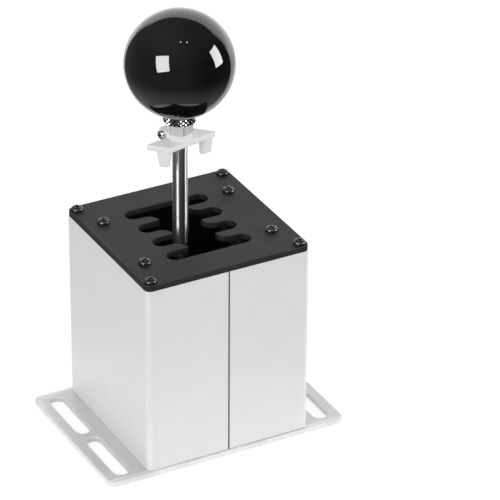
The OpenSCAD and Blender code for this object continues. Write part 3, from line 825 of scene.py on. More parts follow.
FINISHES: dict[Slot, Finish] = {
    finish.slot: finish
    for finish in (
        # The base and the body take a near white edge colour: a painted highlight along their edges
        # and corners
        Finish(Slot.BASE_ALUMINIUM, (0.66, 0.66, 0.67), 0.45, 0.2, grain=0.45 * MM,
               drawn=(3, 1, 1), depth=0.012 * MM, cloud=0.03, worn_and_lit=(0.95, 0.95, 0.95), wear=0.9),
        Finish(Slot.BODY_ALUMINIUM, (0.86, 0.86, 0.865), 0.46, 0.15, grain=0.25 * MM,
               drawn=(1, 1, 40), depth=0.004 * MM, cloud=0.012, worn_and_lit=(1.0, 1.0, 1.0), wear=0.9),
        Finish(Slot.GATE_BLACK, (0.016, 0.016, 0.017), 0.56, ior=1.38, grain=0.2 * MM,
               depth=0.003 * MM, cloud=0.15, worn_and_lit=(0.06, 0.06, 0.06), wear=0.6, painted_shade_colour=(0.002,) * 3),
        # Screws: near black painted shade in the recesses, and a lighter rim that is partly a painted
        # highlight
        Finish(Slot.SCREW_BLACK, (0.010, 0.010, 0.011), 0.22, ior=1.6, grain=0.15 * MM,
               depth=0.004 * MM, cloud=0.2, worn_and_lit=(0.20, 0.20, 0.20), wear=0.9, painted_shade_colour=(0.002,) * 3),
        Finish(Slot.ZINC_STEEL, (0.88, 0.88, 0.89), 0.28, 0.4, worn_and_lit=(0.9, 0.9, 0.9), wear=0.5),
        # The sheet steel and hub steel within the body are near black: painted shade for the dark
        # interior
        Finish(Slot.SHEET_STEEL, (0.025, 0.025, 0.027), 0.50, 0.4, grain=0.2 * MM, drawn=(30, 30, 1)),
        Finish(Slot.GROUND_STEEL, (0.66, 0.67, 0.69), 0.18, 1.0, grain=0.12 * MM, drawn=(1, 30, 1)),
        Finish(Slot.SPRING_STEEL, (0.30, 0.30, 0.32), 0.30, 1.0, grain=0.1 * MM),
        Finish(Slot.HUB_STEEL, (0.04, 0.04, 0.043), 0.40, 0.6, grain=0.2 * MM),
        Finish(Slot.BUSH_BRASS, (0.72, 0.52, 0.22), 0.28, 1.0, grain=0.15 * MM, drawn=(1, 20, 1)),
        Finish(Slot.FRICTION_FIBRE, (0.13, 0.09, 0.06), 0.75, grain=0.25 * MM, depth=0.02 * MM),
        BoardFinish(Slot.BOARD_GREEN, (0.012, 0.10, 0.045), 0.32, grain=0.4 * MM),
        Finish(Slot.CHIP_BLACK, (0.02, 0.02, 0.022), 0.55, grain=0.12 * MM, depth=0.01 * MM),
        Finish(Slot.MAGNET_NICKEL, (0.66, 0.65, 0.62), 0.16, 1.0, grain=0.1 * MM),
        Finish(Slot.LEVER_CHROME, (0.55, 0.55, 0.56), 0.35, 1.0, grain=0.1 * MM, drawn=(8, 8, 1),
               depth=0.0, scatter=0.02, cloud=0.01, polish=1.0),
        Finish(Slot.KNOB_GLOSS, (0.004, 0.004, 0.004), 0.035, ior=1.62, grain=9 * MM,
               depth=0.0, scatter=0.012, cloud=0.2),
        Finish(Slot.LOCK_NYLON, (0.93, 0.93, 0.925), 0.45, grain=0.35 * MM, depth=0.012 * MM,
               scatter=0.07, cloud=0.015, glow=0.25),
    )
}


def settle(piece: bpy.types.Object, body: Body | None, slot: Slot, *nodes: str) -> None:
    """Gives a piece its finish, rides it on its body and lets it stand for its nodes.

    Args:
        piece: The finished piece.
        body: The body that carries it, or None to ride on no body.
        slot: The finish.
        nodes: The frame's nodes that it stands for.
    """
    piece.data.materials.clear()
    piece.data.materials.append(FINISHES[slot].material())
    if body:
        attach(piece, body.value)
    if nodes:
        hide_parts(*nodes)
    LOG.info("%s: %d faces, %s", piece.name, len(piece.data.polygons), slot.value)


# Base and body


@dataclass
class BasePlate:
    """The flat plate with two slots in each flange and four countersunk holes."""

    corner_radius: float = 4 * MM
    edge: float = 0.45 * MM
    slot_length: float = 42 * MM
    slot_width: float = 9 * MM
    slot_inset: float = 10.7 * MM
    slot_spacing: float = 47.6 * MM
    hole_radius: float = 2.2 * MM
    sink_radius: float = 4.03 * MM
    sink_depth: float = 2.2 * MM
    screw_head_radius: float = 3.8 * MM

    def build(self) -> None:
        """Makes the plate."""
        room = NodeBox.of("base_plate")
        low, high = room.low[2], room.high[2]
        rim = Rim.rounded(low, high, self.edge)
        outline = rectangle(room.low[:2], room.high[:2], self.corner_radius)
        holes = [(supported(hole), rim) for hole in self._slots(room)]
        flare = self.sink_radius - self.hole_radius
        sink = Rim.steps([flare, 0, 0], [low, low + self.sink_depth, high])
        screws = NodeBox.of("base_screws").high[:2] - self.screw_head_radius
        holes += [(circle(screws * sign, self.hole_radius), sink) for sign in SIGNS]
        skin = Skin()
        # The plate's whole outer wall takes the edge colour: a painted highlight on its edge faces
        skin.prism(supported(outline), rim, holes, worn_and_lit=1.0)
        settle(skin.build("base_plate_skin"), Body.HOUSING, Slot.BASE_ALUMINIUM, "base_plate")

    def _slots(self, room: NodeBox) -> list[Array]:
        """The four slots' outlines."""
        middle = np.array([room.high[0] - self.slot_inset, self.slot_spacing / 2])
        return [slot_outline(middle * sign, self.slot_length, self.slot_width) for sign in SIGNS]


@dataclass
class BodyShell:
    """The two C-shaped channels that meet at the seam, with screw posts in their corners."""

    wall: float = 3 * MM
    corner_radius: float = 3 * MM
    seam_chamfer: float = 0.4 * MM
    post_radius: float = 4 * MM
    post_inset: float = 4.4 * MM
    hole_radius: float = 2.03 * MM
    edge: float = 0.3 * MM
    window_gap: float = 0.3 * MM
    window_corner: float = 0.5 * MM
    # Width of the painted shade beside the seam, and the painted highlight's share on the outer
    # corners
    seam_shade: float = 0.3 * MM
    corner_wear: float = 0.8
    on_face: float = 0.01 * MM

    def build(self) -> None:
        """Makes both channels, and cuts the socket's window in the front one."""
        room = NodeBox.of("rear_channel")
        rear = self._channel("rear_channel", room, 0)
        front = carved(self._channel("front_channel", room, 180), self._window())
        settle(rear, Body.HOUSING, Slot.BODY_ALUMINIUM, "rear_channel")
        settle(front, Body.HOUSING, Slot.BODY_ALUMINIUM, "front_channel")

    def _outline(self, room: NodeBox) -> Array:
        """The C-shaped section, round its outside and back along its inner side.

        A post's arc starts and ends where its circle meets the inner walls.

        Args:
            room: The room of the channel on the -X side.

        Returns:
            The outline's points.
        """
        left, seam, half = room.low[0], room.high[0], room.high[1]
        cut = self.seam_chamfer
        corner = np.array([left, half]) + self.corner_radius * np.array([1, -1])
        far = arc(corner, self.corner_radius, 90, 180, 8)
        outer = np.concatenate([
            [[seam, half - cut], [seam - cut, half]], far, far[::-1] * (1, -1),
            [[seam - cut, -half], [seam, cut - half]],
        ])
        post = np.array([left, half]) + self.post_inset * np.array([1, -1])
        meet = math.degrees(math.asin((self.post_inset - self.wall) / self.post_radius))
        post_arc = arc(post, self.post_radius, -90 - meet, meet, 16)
        inner = np.concatenate([
            [[seam, self.wall - half]], post_arc[::-1] * (1, -1), post_arc, [[seam, half - self.wall]],
        ])
        return np.concatenate([outer, inner])

    def _channel(self, node: str, room: NodeBox, turn: float) -> bpy.types.Object:
        """Makes one channel: the section turned and carried up.

        What faces inwards, the seam and the foot get painted shade, and the outer corners a
        painted highlight.

        Args:
            node: The channel's node.
            room: The room of the channel on the -X side.
            turn: Turn about the upright axis in degrees.

        Returns:
            The channel.
        """
        outline = supported(self._outline(room))
        reach = np.array([-room.low[0], room.high[1]]) - self.wall + self.on_face
        # The outer vertical corners, which get a painted highlight
        corner = (np.abs(outline) > reach + self.wall - self.corner_radius).all(axis=1)
        # Painted shade on the inner walls and along the seam, and below on the foot row where the body
        # meets the base
        dark = (np.abs(outline) <= reach).all(axis=1)
        dark |= np.abs(outline[:, 0]) < self.seam_shade
        rim = Rim.rounded(room.low[2], room.high[2], self.edge)
        foot = rim.height < room.low[2] + self.edge / 2
        inside = (dark | foot[:, None]).astype(float)
        post = np.array([room.low[0] + self.post_inset, room.high[1] - self.post_inset])
        hole = Rim.steps([0, 0], [room.low[2], room.high[2]])
        holes = [(turned(circle(post * (1, s), self.hole_radius), turn), hole) for s in (1, -1)]
        skin = Skin()
        skin.prism(turned(outline, turn), rim, holes, inside, self.corner_wear * corner)
        return skin.build(node + "_skin")

    def _window(self) -> bpy.types.Object:
        """The tool that cuts the socket's window through the front wall.

        Returns:
            The tool, a closed prism along X.
        """
        room = NodeBox.of("usb_socket")
        low = room.low[1:] - self.window_gap
        high = room.high[1:] + self.window_gap
        wall_high = NodeBox.of("front_channel").high[0]
        skin = Skin()
        span = Rim.steps([0, 0], [wall_high - 2 * self.wall, wall_high + self.wall])
        skin.prism(rectangle(low, high, self.window_corner), span)
        skin.placed(ALONG_X)
        return skin.build("window_tool")


# Gate plate and screws


@dataclass
class GatePlate:
    """The black plate with the H-pattern gate of four lanes."""

    corner_radius: float = 4 * MM
    edge: float = 0.35 * MM
    lanes: int = 4
    lane_pitch: float = 17 * MM
    lane_width: float = 10 * MM
    lane_reach: float = 25.5 * MM
    channel_half: float = 10.3 * MM
    lead_in: float = 6.5 * MM
    hole_radius: float = 2.2 * MM

    def build(self) -> None:
        """Makes the plate."""
        room = NodeBox.of("gate_plate")
        rim = Rim.rounded(room.low[2], room.high[2], self.edge)
        straight = Rim.steps([0, 0], [room.low[2], room.high[2]])
        holes = [(supported(self._opening()), rim)]
        for node in ("gate_corner_screws", "gate_inner_screws"):
            place = NodeBox.of(node).high[:2] - PanScrew.head_radius
            holes += [(circle(place * sign, self.hole_radius), straight) for sign in SIGNS]
        outline = rectangle(room.low[:2], room.high[:2], self.corner_radius)
        skin = Skin()
        skin.prism(supported(outline), rim, holes)
        settle(skin.build("gate_plate_skin"), Body.HOUSING, Slot.GATE_BLACK, "gate_plate")

    def _opening(self) -> Array:
        """The gate's outline: one half goes up the +X side, and the other is it turned round.

        Each lane ends in a half circle, and each prong between two lanes has one corner
        rounded off as a lead-in.

        Returns:
            The outline's points.
        """
        half_lane = self.lane_width / 2
        end_x = self.lane_reach - half_lane
        lead_x = self.channel_half + self.lead_in
        parts = []
        for k in range(self.lanes):
            y = (k - (self.lanes - 1) / 2) * self.lane_pitch
            parts.append(arc((end_x, y), half_lane, -90, 90, 20))
            if k < self.lanes - 1:
                corner = y + half_lane
                next_lane = y + self.lane_pitch - half_lane
                parts.append(arc((lead_x, corner + self.lead_in), self.lead_in, 270, 180, 10))
                parts.append([[self.channel_half, next_lane]])
        half = np.concatenate(parts)
        return np.concatenate([half, -half])


@dataclass(frozen=True)
class PanScrew:
    """A pan-head screw with a cross recess. Its seat is at its own z = 0.

    Attributes:
        head_radius: Radius of the head.
        head_height: Its height.
        shank_radius: Radius of the shank.
        length: Length of the shank.
        turn: Turn of the cross about the axis in radians.
        wing: Reach of the cross, as a share of the head's radius.
        wing_width: Half of a wing's width, as a share of the head's radius.
        wing_rise: Share of its depth that a wing loses at its end.
        wing_edge: Width over which a wing's side goes down.
        recess: Depth of the cross, as a share of the head's height.
        crown_power: The first power in the head's curve.
        crown_round: The second power in the head's curve.
        crown_from: Share of the head's height past which its top lies.
        rim_from: Share of the head's radius past which the rim is lighter: scuffing and painted
            highlight.
        rim_fade: Share of the head's radius over which that share would grow to 1.
        rim_wear: The most of that colour on the rim.
        side_rows: Rows on the head's side.
        side_spread: How these rows are spread.
        top_rows: Rows over its top.
        top_share: Share of the head's radius at which these rows begin.
        lip: Height of the head's upright foot.
        tip: Chamfer at the shank's end.
    """

    head_radius: float = 3.5 * MM
    head_height: float = 2.3 * MM
    shank_radius: float = 2 * MM
    length: float = 14 * MM
    turn: float = 0.0
    wing: float = 0.55
    wing_width: float = 0.14
    wing_rise: float = 0.4
    wing_edge: float = 0.12 * MM
    recess: float = 0.55
    crown_power: float = 3.3
    crown_round: float = 0.38
    crown_from: float = 0.6
    rim_from: float = 0.7
    rim_fade: float = 0.25
    rim_wear: float = 0.8
    side_rows: int = 18
    side_spread: float = 0.6
    top_rows: int = 34
    top_share: float = 0.66
    lip: float = 0.15 * MM
    tip: float = 0.3 * MM

    def skin(self, place: Matrix, columns: int = 120) -> Skin:
        """The screw as a skin.

        The head's top follows z = lip + rise (1 - (r / R) ^ p) ^ q, with p and q the crown's
        powers. The recess is a cross: its depth is greatest at the middle and falls off along each
        wing. Its painted shade grows with its depth, and is whole from half of the greatest on.

        Args:
            place: Where the screw's own axes lie.
            columns: Points round the axis.

        Returns:
            The skin.
        """
        radius, height = self._profile()
        points = revolved(radius, height, (0, 0), columns)
        depth, edge = self._cross(points[..., 0], points[..., 1])
        on_head = (height > self.head_height * self.crown_from)[:, None]
        points[..., 2] -= np.where(on_head, depth, 0)
        deepest = self.recess * self.head_height
        # Painted shade in the recess, darker with its depth
        dark = np.where(on_head, np.clip(2 * depth / deepest, 0, 1), 0)
        # The rim's edge colour: partly scuffing, partly a painted highlight
        past = (radius / self.head_radius - self.rim_from) / self.rim_fade
        rim = np.clip(past, 0, self.rim_wear)[:, None]
        made = Skin()
        made.grid(points, wear=np.where(on_head, np.maximum(edge, rim), 0), inside=dark)
        made.placed(place)
        return made

    def _profile(self) -> tuple[Array, Array]:
        """The screw's outline, from the shank's tip over the head to its crown.

        On the head's side a row's share of the radius is a power of the cosine of an even angle,
        so that rows lie close together at the rim. Over its top the shares are even.

        Returns:
            Radii and heights.
        """
        side = np.cos(np.linspace(0, 1, self.side_rows)) ** self.side_spread
        top = np.linspace(self.top_share, 0, self.top_rows)
        share = np.concatenate([side, top])
        rise = self.head_height - self.lip
        head_z = self.lip + rise * (1 - share ** self.crown_power) ** self.crown_round
        shank = self.shank_radius
        radius = [0, shank - self.tip, shank, shank, shank, self.head_radius - self.lip]
        height = [-self.length, -self.length, self.tip - self.length, -self.lip, 0, 0]
        head_r = self.head_radius * share
        return np.concatenate([radius, head_r]), np.concatenate([height, head_z])

    def _cross(self, x: Array, y: Array) -> tuple[Array, Array]:
        """The cross recess: two wings that cross at the middle, each clipped to its own box.

        Args:
            x: The points' places along the screw's own X.
            y: The points' places along its Y.

        Returns:
            The depth at each point, and how near it is to the recess's edge, 0 to 1.
        """
        c, s = math.cos(self.turn), math.sin(self.turn)
        along = np.stack([c * x + s * y, c * y - s * x])
        across = along[::-1]
        reach = self.wing * self.head_radius
        half = self.wing_width * self.head_radius
        # The recess's footprint: it sets its depth, and through that its painted shade
        inside = np.clip((reach - np.abs(along)) / self.wing_edge, 0, 1)
        inside = np.minimum(inside, np.clip((half - np.abs(across)) / self.wing_edge, 0, 1))
        wing = inside * (1 - self.wing_rise * np.abs(along) / reach)
        mask = inside.max(axis=0)
        return self.recess * self.head_height * wing.max(axis=0), 4 * mask * (1 - mask)


@dataclass
class GateScrews:
    """The pan-head screws that hold the gate plate, four to a node."""

    first_turn: float = 0.35
    next_turn: float = 0.9

    def build(self) -> None:
        """Makes both sets."""
        for node in ("gate_corner_screws", "gate_inner_screws"):
            room = NodeBox.of(node)
            seat = room.high[2] - PanScrew.head_height
            places = SIGNS * (room.high[:2] - PanScrew.head_radius)
            skin = Skin()
            for k, (x, y) in enumerate(places):
                screw = PanScrew(length=seat - room.low[2], turn=self.first_turn + k * self.next_turn)
                skin.join(screw.skin(Matrix.Translation((x, y, seat))))
            settle(skin.build(node + "_skin", sharp=50), Body.HOUSING, Slot.SCREW_BLACK, node)


# Lever


@dataclass(frozen=True)
class HexagonNut:
    """A nut with chamfered corners and a chamfered bore, standing on its own z = 0.

    Attributes:
        flats: Width across the flats.
        height: Height of the nut.
        bore: Radius of its bore.
        lip: Chamfer of the bore.
        chamfer: How far the corners' cone reaches in from a corner, in steps from corner to flat.
        slope: How far that cone goes in for each step down.
    """

    flats: float
    height: float
    bore: float
    lip: float = 0.3 * MM
    chamfer: float = 1.2
    slope: float = 2.0

    def rings(self, columns: int = 144) -> Array:
        """The nut as rings of points, up its outside and back down its bore.

        At angle a from a corner the side lies at R = flats / 2 / cos(a mod 60 - 30), and the
        corners' cone meets it where the cone's radius is R.

        Args:
            columns: Points round the axis.

        Returns:
            Rows by columns by 3, whose last row joins the first.
        """
        turn = np.linspace(0, 360, columns, endpoint=False)
        side = self.flats / 2 / np.cos(np.radians(turn % 60 - 30))
        corner = self.flats / 2 / math.cos(math.radians(30))
        face = corner - self.chamfer * (corner - self.flats / 2)
        drop = np.clip(side - face, 0, None) / self.slope
        flat = np.ones(columns)
        mouth = self.bore + self.lip
        radius = np.stack([
            flat * self.bore, flat * mouth, flat * face, side,
            side, flat * face, flat * mouth, flat * self.bore,
        ])
        rise = np.stack([
            flat * self.lip, flat * 0, flat * 0, drop,
            self.height - drop, flat * self.height, flat * self.height,
            flat * (self.height - self.lip),
        ])
        return revolved(radius, rise, (0, 0), columns)


@dataclass
class Lever:
    """The chromed lever with its nut, its knurled collar and the ball knob."""

    nut_flats: float = 13 * MM
    nut_turn: float = 19.6
    thread_radius: float = 4 * MM
    bore_radius: float = 4.03 * MM
    # Painted shade on the nut's corners and lower rim
    nut_shade: float = 0.9
    rod_bevel: float = 0.4 * MM
    rod_columns: int = 128
    knurl_count: int = 24
    knurl_columns: int = 12
    knurl_rows: int = 33
    knurl_pitch: float = 2.4 * MM
    knurl_depth: float = 0.6 * MM
    # Painted shade in the knurl's grooves: 1.9 - 3.4 times the ridge, held within 0 and 1
    groove_shade: float = 1.9
    groove_fade: float = 3.4
    collar_bevel: float = 0.4 * MM
    ball_round: float = 0.3 * MM
    ball_rows: int = 128
    ball_columns: int = 192

    @property
    def axis(self) -> Array:
        """Where the lever stands, seen from above."""
        return NodeBox.of("shift_lever").centre[:2]

    def build(self) -> None:
        """Makes the four pieces."""
        self._rod()
        self._nut()
        self._collar()
        self._ball()

    def _rod(self) -> None:
        """The rod: a round bar with a chamfered foot and a thinner thread on top."""
        room = NodeBox.of("shift_lever")
        r = room.size[0] / 2
        shoulder = NodeBox.of("jam_nut").low[2]
        bevel = self.rod_bevel
        foot = room.low[2]
        radius = np.array([0, r - bevel, r, r, r, r, r - bevel / 2, self.thread_radius,
                           self.thread_radius, self.thread_radius - bevel, 0])
        height = np.array([foot, foot, foot + bevel, foot + 2 * bevel, shoulder - 2 * bevel,
                           shoulder - bevel / 2, shoulder, shoulder, room.high[2] - bevel,
                           room.high[2], room.high[2]])
        skin = Skin()
        skin.grid(revolved(radius, height, self.axis, self.rod_columns))
        settle(skin.build("shift_lever_skin"), Body.LEVER, Slot.LEVER_CHROME, "shift_lever")

    def _nut(self) -> None:
        """The hexagon nut, turned as it sits, with painted shade at its six corners and its lower rim.
        """
        room = NodeBox.of("jam_nut")
        points = HexagonNut(self.nut_flats, room.size[2], self.bore_radius).rings()
        dark = np.zeros(points.shape[:2])
        rim, sides = 2, slice(3, 5)
        # Painted shade lines down the six corners and round the lower rim
        dark[sides, ::points.shape[1] // 6] = self.nut_shade
        dark[rim] = self.nut_shade
        skin = Skin()
        skin.grid(points, inside=dark, ring=True)
        turn = Matrix.Rotation(math.radians(self.nut_turn), 4, "Z")
        skin.placed(Matrix.Translation((*self.axis, room.low[2])) @ turn)
        settle(skin.build("jam_nut_skin", sharp=20), Body.LEVER, Slot.ZINC_STEEL, "jam_nut")

    def _collar(self) -> None:
        """The collar: a ring with a diamond knurl.

        Two families of grooves wind round it, and a point stands out by the smaller of its
        distances to the nearest groove of each: min(tri(u + v), tri(u - v)), where u counts
        grooves round the collar, v counts them up it and tri runs from 0 to 1 and back. The
        grooves get painted shade.
        """
        room = NodeBox.of("knurled_collar")
        r = room.size[0] / 2
        columns = self.knurl_count * self.knurl_columns
        rise = np.linspace(0, 1, self.knurl_rows)
        height = room.low[2] + self.collar_bevel + rise * (room.size[2] - 2 * self.collar_bevel)
        u = np.linspace(0, self.knurl_count, columns, endpoint=False)
        v = (height - room.low[2])[:, None] / self.knurl_pitch
        ridge = np.minimum(np.abs((u + v) % 1 * 2 - 1), np.abs((u - v) % 1 * 2 - 1))
        knurl = r - self.knurl_depth * (1 - ridge)
        ends = np.ones((1, columns))
        inner = r - self.collar_bevel - self.knurl_depth
        radius = np.concatenate([
            ends * self.bore_radius, ends * inner, knurl, ends * inner, ends * self.bore_radius,
        ])
        low, high = [room.low[2]], [room.high[2]]
        points = revolved(radius, np.concatenate([low, low, height, high, high]), self.axis, columns)
        # Painted shade: whole near a groove's line, none past about halfway to a ridge
        shade = np.clip(self.groove_shade - self.groove_fade * ridge, 0, 1)
        inside = np.concatenate([0 * ends, 0 * ends, shade, 0 * ends, 0 * ends])
        skin = Skin()
        skin.grid(points, inside=inside, ring=True)
        collar = skin.build("knurled_collar_skin", sharp=28)
        settle(collar, Body.LEVER, Slot.GROUND_STEEL, "knurled_collar")

    def _ball(self) -> None:
        """The ball: a sphere cut flat on the collar, with a small round at the cut."""
        room = NodeBox.of("ball_knob")
        r = room.size[0] / 2
        middle = room.high[2] - r
        start = math.asin((room.low[2] - middle) / r)
        rise = np.linspace(start, np.pi / 2, self.ball_rows)
        foot = r * math.cos(start) - self.ball_round
        radius = np.concatenate([[0, foot], r * np.cos(rise[1:])])
        height = np.concatenate([[room.low[2], room.low[2]], middle + r * np.sin(rise[1:])])
        skin = Skin()
        skin.grid(revolved(radius, height, self.axis, self.ball_columns))
        settle(skin.build("ball_knob_skin"), Body.LEVER, Slot.KNOB_GLOSS, "ball_knob")


# Sequential lock


@dataclass
class SequentialLock:
    """The nylon bar on the lever, with two pegs that drop into the gate, and its clamp."""

    bar_length: float = 32.4 * MM
    bar_slant: float = 7.9 * MM
    bar_width: float = 11.7 * MM
    bar_thick: float = 3.4 * MM
    clamp_width: float = 13 * MM
    clamp_reach: float = 10.6 * MM
    clamp_height: float = 7.3 * MM
    slit: float = 1.2 * MM
    bore_radius: float = 4.32 * MM
    bar_front: float = 1.2 * MM
    left_peg: tuple[float, float] = (8.6 * MM, 2.6 * MM)
    right_peg: tuple[float, float] = (4.8 * MM, 6.3 * MM)
    right_peg_in: float = 1.4 * MM
    peg_inset: float = 0.3 * MM
    peg_draft: float = 0.6
    yaw: float = 11.0
    edge: float = 0.6 * MM
    corner: float = 0.7 * MM
    voxel: float = 0.24 * MM
    soften_share: float = 0.5
    soften_rounds: int = 4
    cut_past: float = 2 * MM
    screw_out: float = 7.0 * MM
    screw_up: float = 4.4 * MM
    screw_radius: float = 1.5 * MM
    screw_head_radius: float = 2.8 * MM
    screw_head_height: float = 2.4 * MM
    screw_past: float = 3.4 * MM
    screw_turn: float = 0.5
    nut_flats: float = 5.5 * MM
    nut_height: float = 2.4 * MM
    nut_bore: float = 1.53 * MM
    nut_columns: int = 72
    pocket_radius: float = 3.2 * MM
    pocket_depth: float = 3.2 * MM
    pocket_gap: float = 0.1 * MM

    def __post_init__(self) -> None:
        """Takes the lock's heights and its place on the lever from the frame."""
        room = NodeBox.of("sequential_lock")
        self.foot = room.low[2]
        self.top = room.high[2]
        self.bar_foot = self.top - self.clamp_height
        axis = NodeBox.of("shift_lever").centre
        turn = Matrix.Rotation(math.radians(self.yaw), 4, "Z")
        self.place = Matrix.Translation((axis[0], axis[1], 0)) @ turn
        self.screw = Vector((self.clamp_width / 2, self.screw_out, self.bar_foot + self.screw_up))
        self.tip = (self.bar_length + self.bar_slant) / 2

    def build(self) -> None:
        """Makes the lock, then its screw and nut."""
        self._bar()
        self._fasteners()

    def _bar(self) -> None:
        """The lock: its prisms fused and softened, then bored, slit and pocketed."""
        left = self.bar_slant - self.tip + self.peg_inset
        right = self.tip - self.right_peg_in - self.right_peg[1]
        skin = Skin()
        for part in (self._blade(), self._clamp(), self._peg(left, *self.left_peg),
                     self._peg(right, *self.right_peg)):
            skin.join(part)
        skin.placed(self.place)
        lock = skin.build("sequential_lock_skin")
        fuse = lock.modifiers.new("fuse", "REMESH")
        fuse.mode = "VOXEL"
        fuse.voxel_size = self.voxel
        fuse.use_smooth_shade = True
        soften = lock.modifiers.new("soften", "SMOOTH")
        soften.factor = self.soften_share
        soften.iterations = self.soften_rounds
        applied(lock)
        carved(lock, self._tool())
        settle(lock, Body.LOCK, Slot.LOCK_NYLON, "sequential_lock")

    def _blade(self) -> Skin:
        """The bar: a parallelogram with soft edges.

        Returns:
            The bar's skin.
        """
        tip, half = self.tip, self.bar_width / 2
        corners = np.array([
            (-tip, half), (self.bar_slant - tip, -half), (tip, -half), (tip - self.bar_slant, half),
        ])
        made = Skin()
        rim = Rim.rounded(self.bar_foot, self.bar_foot + self.bar_thick, self.edge)
        made.prism(filleted(corners, self.corner) - (0, self.bar_front), rim)
        return made

    def _clamp(self) -> Skin:
        """The clamp: a half round in front of the lever and a block behind it.

        Returns:
            The clamp's skin.
        """
        half = self.clamp_width / 2
        nose = arc((0, 0), half, 180, 360, 32)
        block = rectangle((-half, -self.clamp_reach), (half, self.clamp_reach), self.corner)
        block = block[block[:, 1] > 0]
        made = Skin()
        made.prism(np.concatenate([nose, block]), Rim.rounded(self.bar_foot, self.top, self.edge))
        return made

    def _peg(self, x: float, root: float, width: float) -> Skin:
        """A peg along the bar's front edge: a parallelogram that narrows along its slanted sides.

        Args:
            x: Where its left side meets the bar's front edge.
            root: Its length along the slant under the bar.
            width: Its width along the bar.

        Returns:
            The peg's skin, which reaches up into the bar.
        """
        slant = np.array([self.bar_slant, -self.bar_width])
        slant /= np.linalg.norm(slant)
        front = -self.bar_width / 2 - self.bar_front
        corner = np.array([x, front]) + slant * self.peg_inset / slant[1]
        sides = np.array([(0, 0), (1, 0), (1, 1), (0, 1)], float)
        outline = corner + sides @ np.array([(width, 0), -slant * root])
        made = Skin()
        rim = Rim.rounded(self.foot, self.bar_foot + self.bar_thick / 2, self.edge)
        rim = rim.drafted(self.bar_foot, self.peg_draft, slant)
        made.prism(filleted(outline, self.corner), rim)
        return made

    def _tool(self) -> bpy.types.Object:
        """What is cut out: the lever's bore and the slit, and the pockets beside the clamp.

        Returns:
            The tool, of three closed prisms.
        """
        above, below = self.top + self.cut_past, self.bar_foot - self.cut_past
        made = Skin()
        half = self.slit / 2
        open_half = math.degrees(math.asin(half / self.bore_radius))
        bore = arc((0, 0), self.bore_radius, 90 + open_half, 450 - open_half, 72)
        back = 2 * self.clamp_reach
        key = np.concatenate([bore, [(half, back), (-half, back)]])
        made.prism(key, Rim.steps([0, 0], [below, above]))
        start = self.clamp_width / 2 + self.pocket_gap
        for side in (-1, 1):
            pocket = Skin()
            span = sorted([side * start, side * (start + self.pocket_depth)])
            pocket.prism(circle(self.screw.yz, self.pocket_radius), Rim.steps([0, 0], span))
            pocket.placed(ALONG_X)
            made.join(pocket)
        made.placed(self.place)
        return made.build("lock_tool")

    def _fasteners(self) -> None:
        """The clamp screw from the left and its nut on the right."""
        left = Vector((-self.screw.x, self.screw.y, self.screw.z))
        face_left = Matrix.Rotation(math.radians(-90), 4, "Y")
        face_right = Matrix.Rotation(math.radians(90), 4, "Y")
        pan = PanScrew(
            self.screw_head_radius, self.screw_head_height, self.screw_radius,
            self.clamp_width + self.screw_past, self.screw_turn,
        )
        screw = pan.skin(self.place @ Matrix.Translation(left) @ face_left)
        screw_piece = screw.build("lock_clamp_screw_skin", sharp=50)
        settle(screw_piece, Body.LOCK, Slot.GROUND_STEEL, "lock_clamp_screw")
        hexagon = HexagonNut(self.nut_flats, self.nut_height, self.nut_bore)
        nut = Skin()
        nut.grid(hexagon.rings(self.nut_columns), ring=True)
        nut.placed(self.place @ Matrix.Translation(self.screw) @ face_right)
        nut_piece = nut.build("lock_clamp_nut_skin", sharp=20)
        settle(nut_piece, Body.LOCK, Slot.GROUND_STEEL, "lock_clamp_nut")


# Springs and socket


@dataclass
class Springs:
    """The two coil springs on the cross shaft, built at rest; the real ones shorten and lengthen."""

    wire_radius: float = 0.5 * MM
    coils: float = 5.5
    rings_per_coil: int = 40
    sides: int = 12

    def build(self) -> None:
        """Makes both springs."""
        self._spring("left_spring")
        self._spring("right_spring")

    def _spring(self, node: str) -> None:
        """A round wire carried along a helix about the shaft, with flat ends.

        The wire's middle runs at (R cos a, y, R sin a) while y goes evenly from end to end, and
        its section stands on the outward direction and the one square to it and to the run.

        Args:
            node: The spring's node.
        """
        room = NodeBox.of(node)
        shaft = NodeBox.of("cross_shaft").centre
        r = room.size[0] / 2 - self.wire_radius
        low, high = room.low[1] + self.wire_radius, room.high[1] - self.wire_radius
        turn = np.linspace(0, 2 * np.pi * self.coils, int(self.coils * self.rings_per_coil) + 1)
        flat = np.zeros_like(turn)
        out = np.stack([np.cos(turn), flat, np.sin(turn)], axis=-1)
        along = np.linspace(low, high, len(turn))
        middle = r * out + np.stack([flat, along, flat + shaft[2]], axis=-1)
        climb = (high - low) / turn[-1]
        run = np.stack([-r * np.sin(turn), flat + climb, r * np.cos(turn)], axis=-1)
        run /= np.linalg.norm(run, axis=1, keepdims=True)
        side = np.cross(run, out)
        round_wire = np.linspace(0, 2 * np.pi, self.sides, endpoint=False)[None, :, None]
        section = np.cos(round_wire) * out[:, None] + np.sin(round_wire) * side[:, None]
        points = middle[:, None] + self.wire_radius * section
        ends = np.broadcast_to(middle[[0, -1], None], (2, self.sides, 3))
        skin = Skin()
        skin.grid(np.concatenate([ends[:1], points, ends[1:]]))
        spring = skin.build(node + "_skin", sharp=60)
        settle(spring, None, Slot.SPRING_STEEL, node)
        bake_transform(spring)


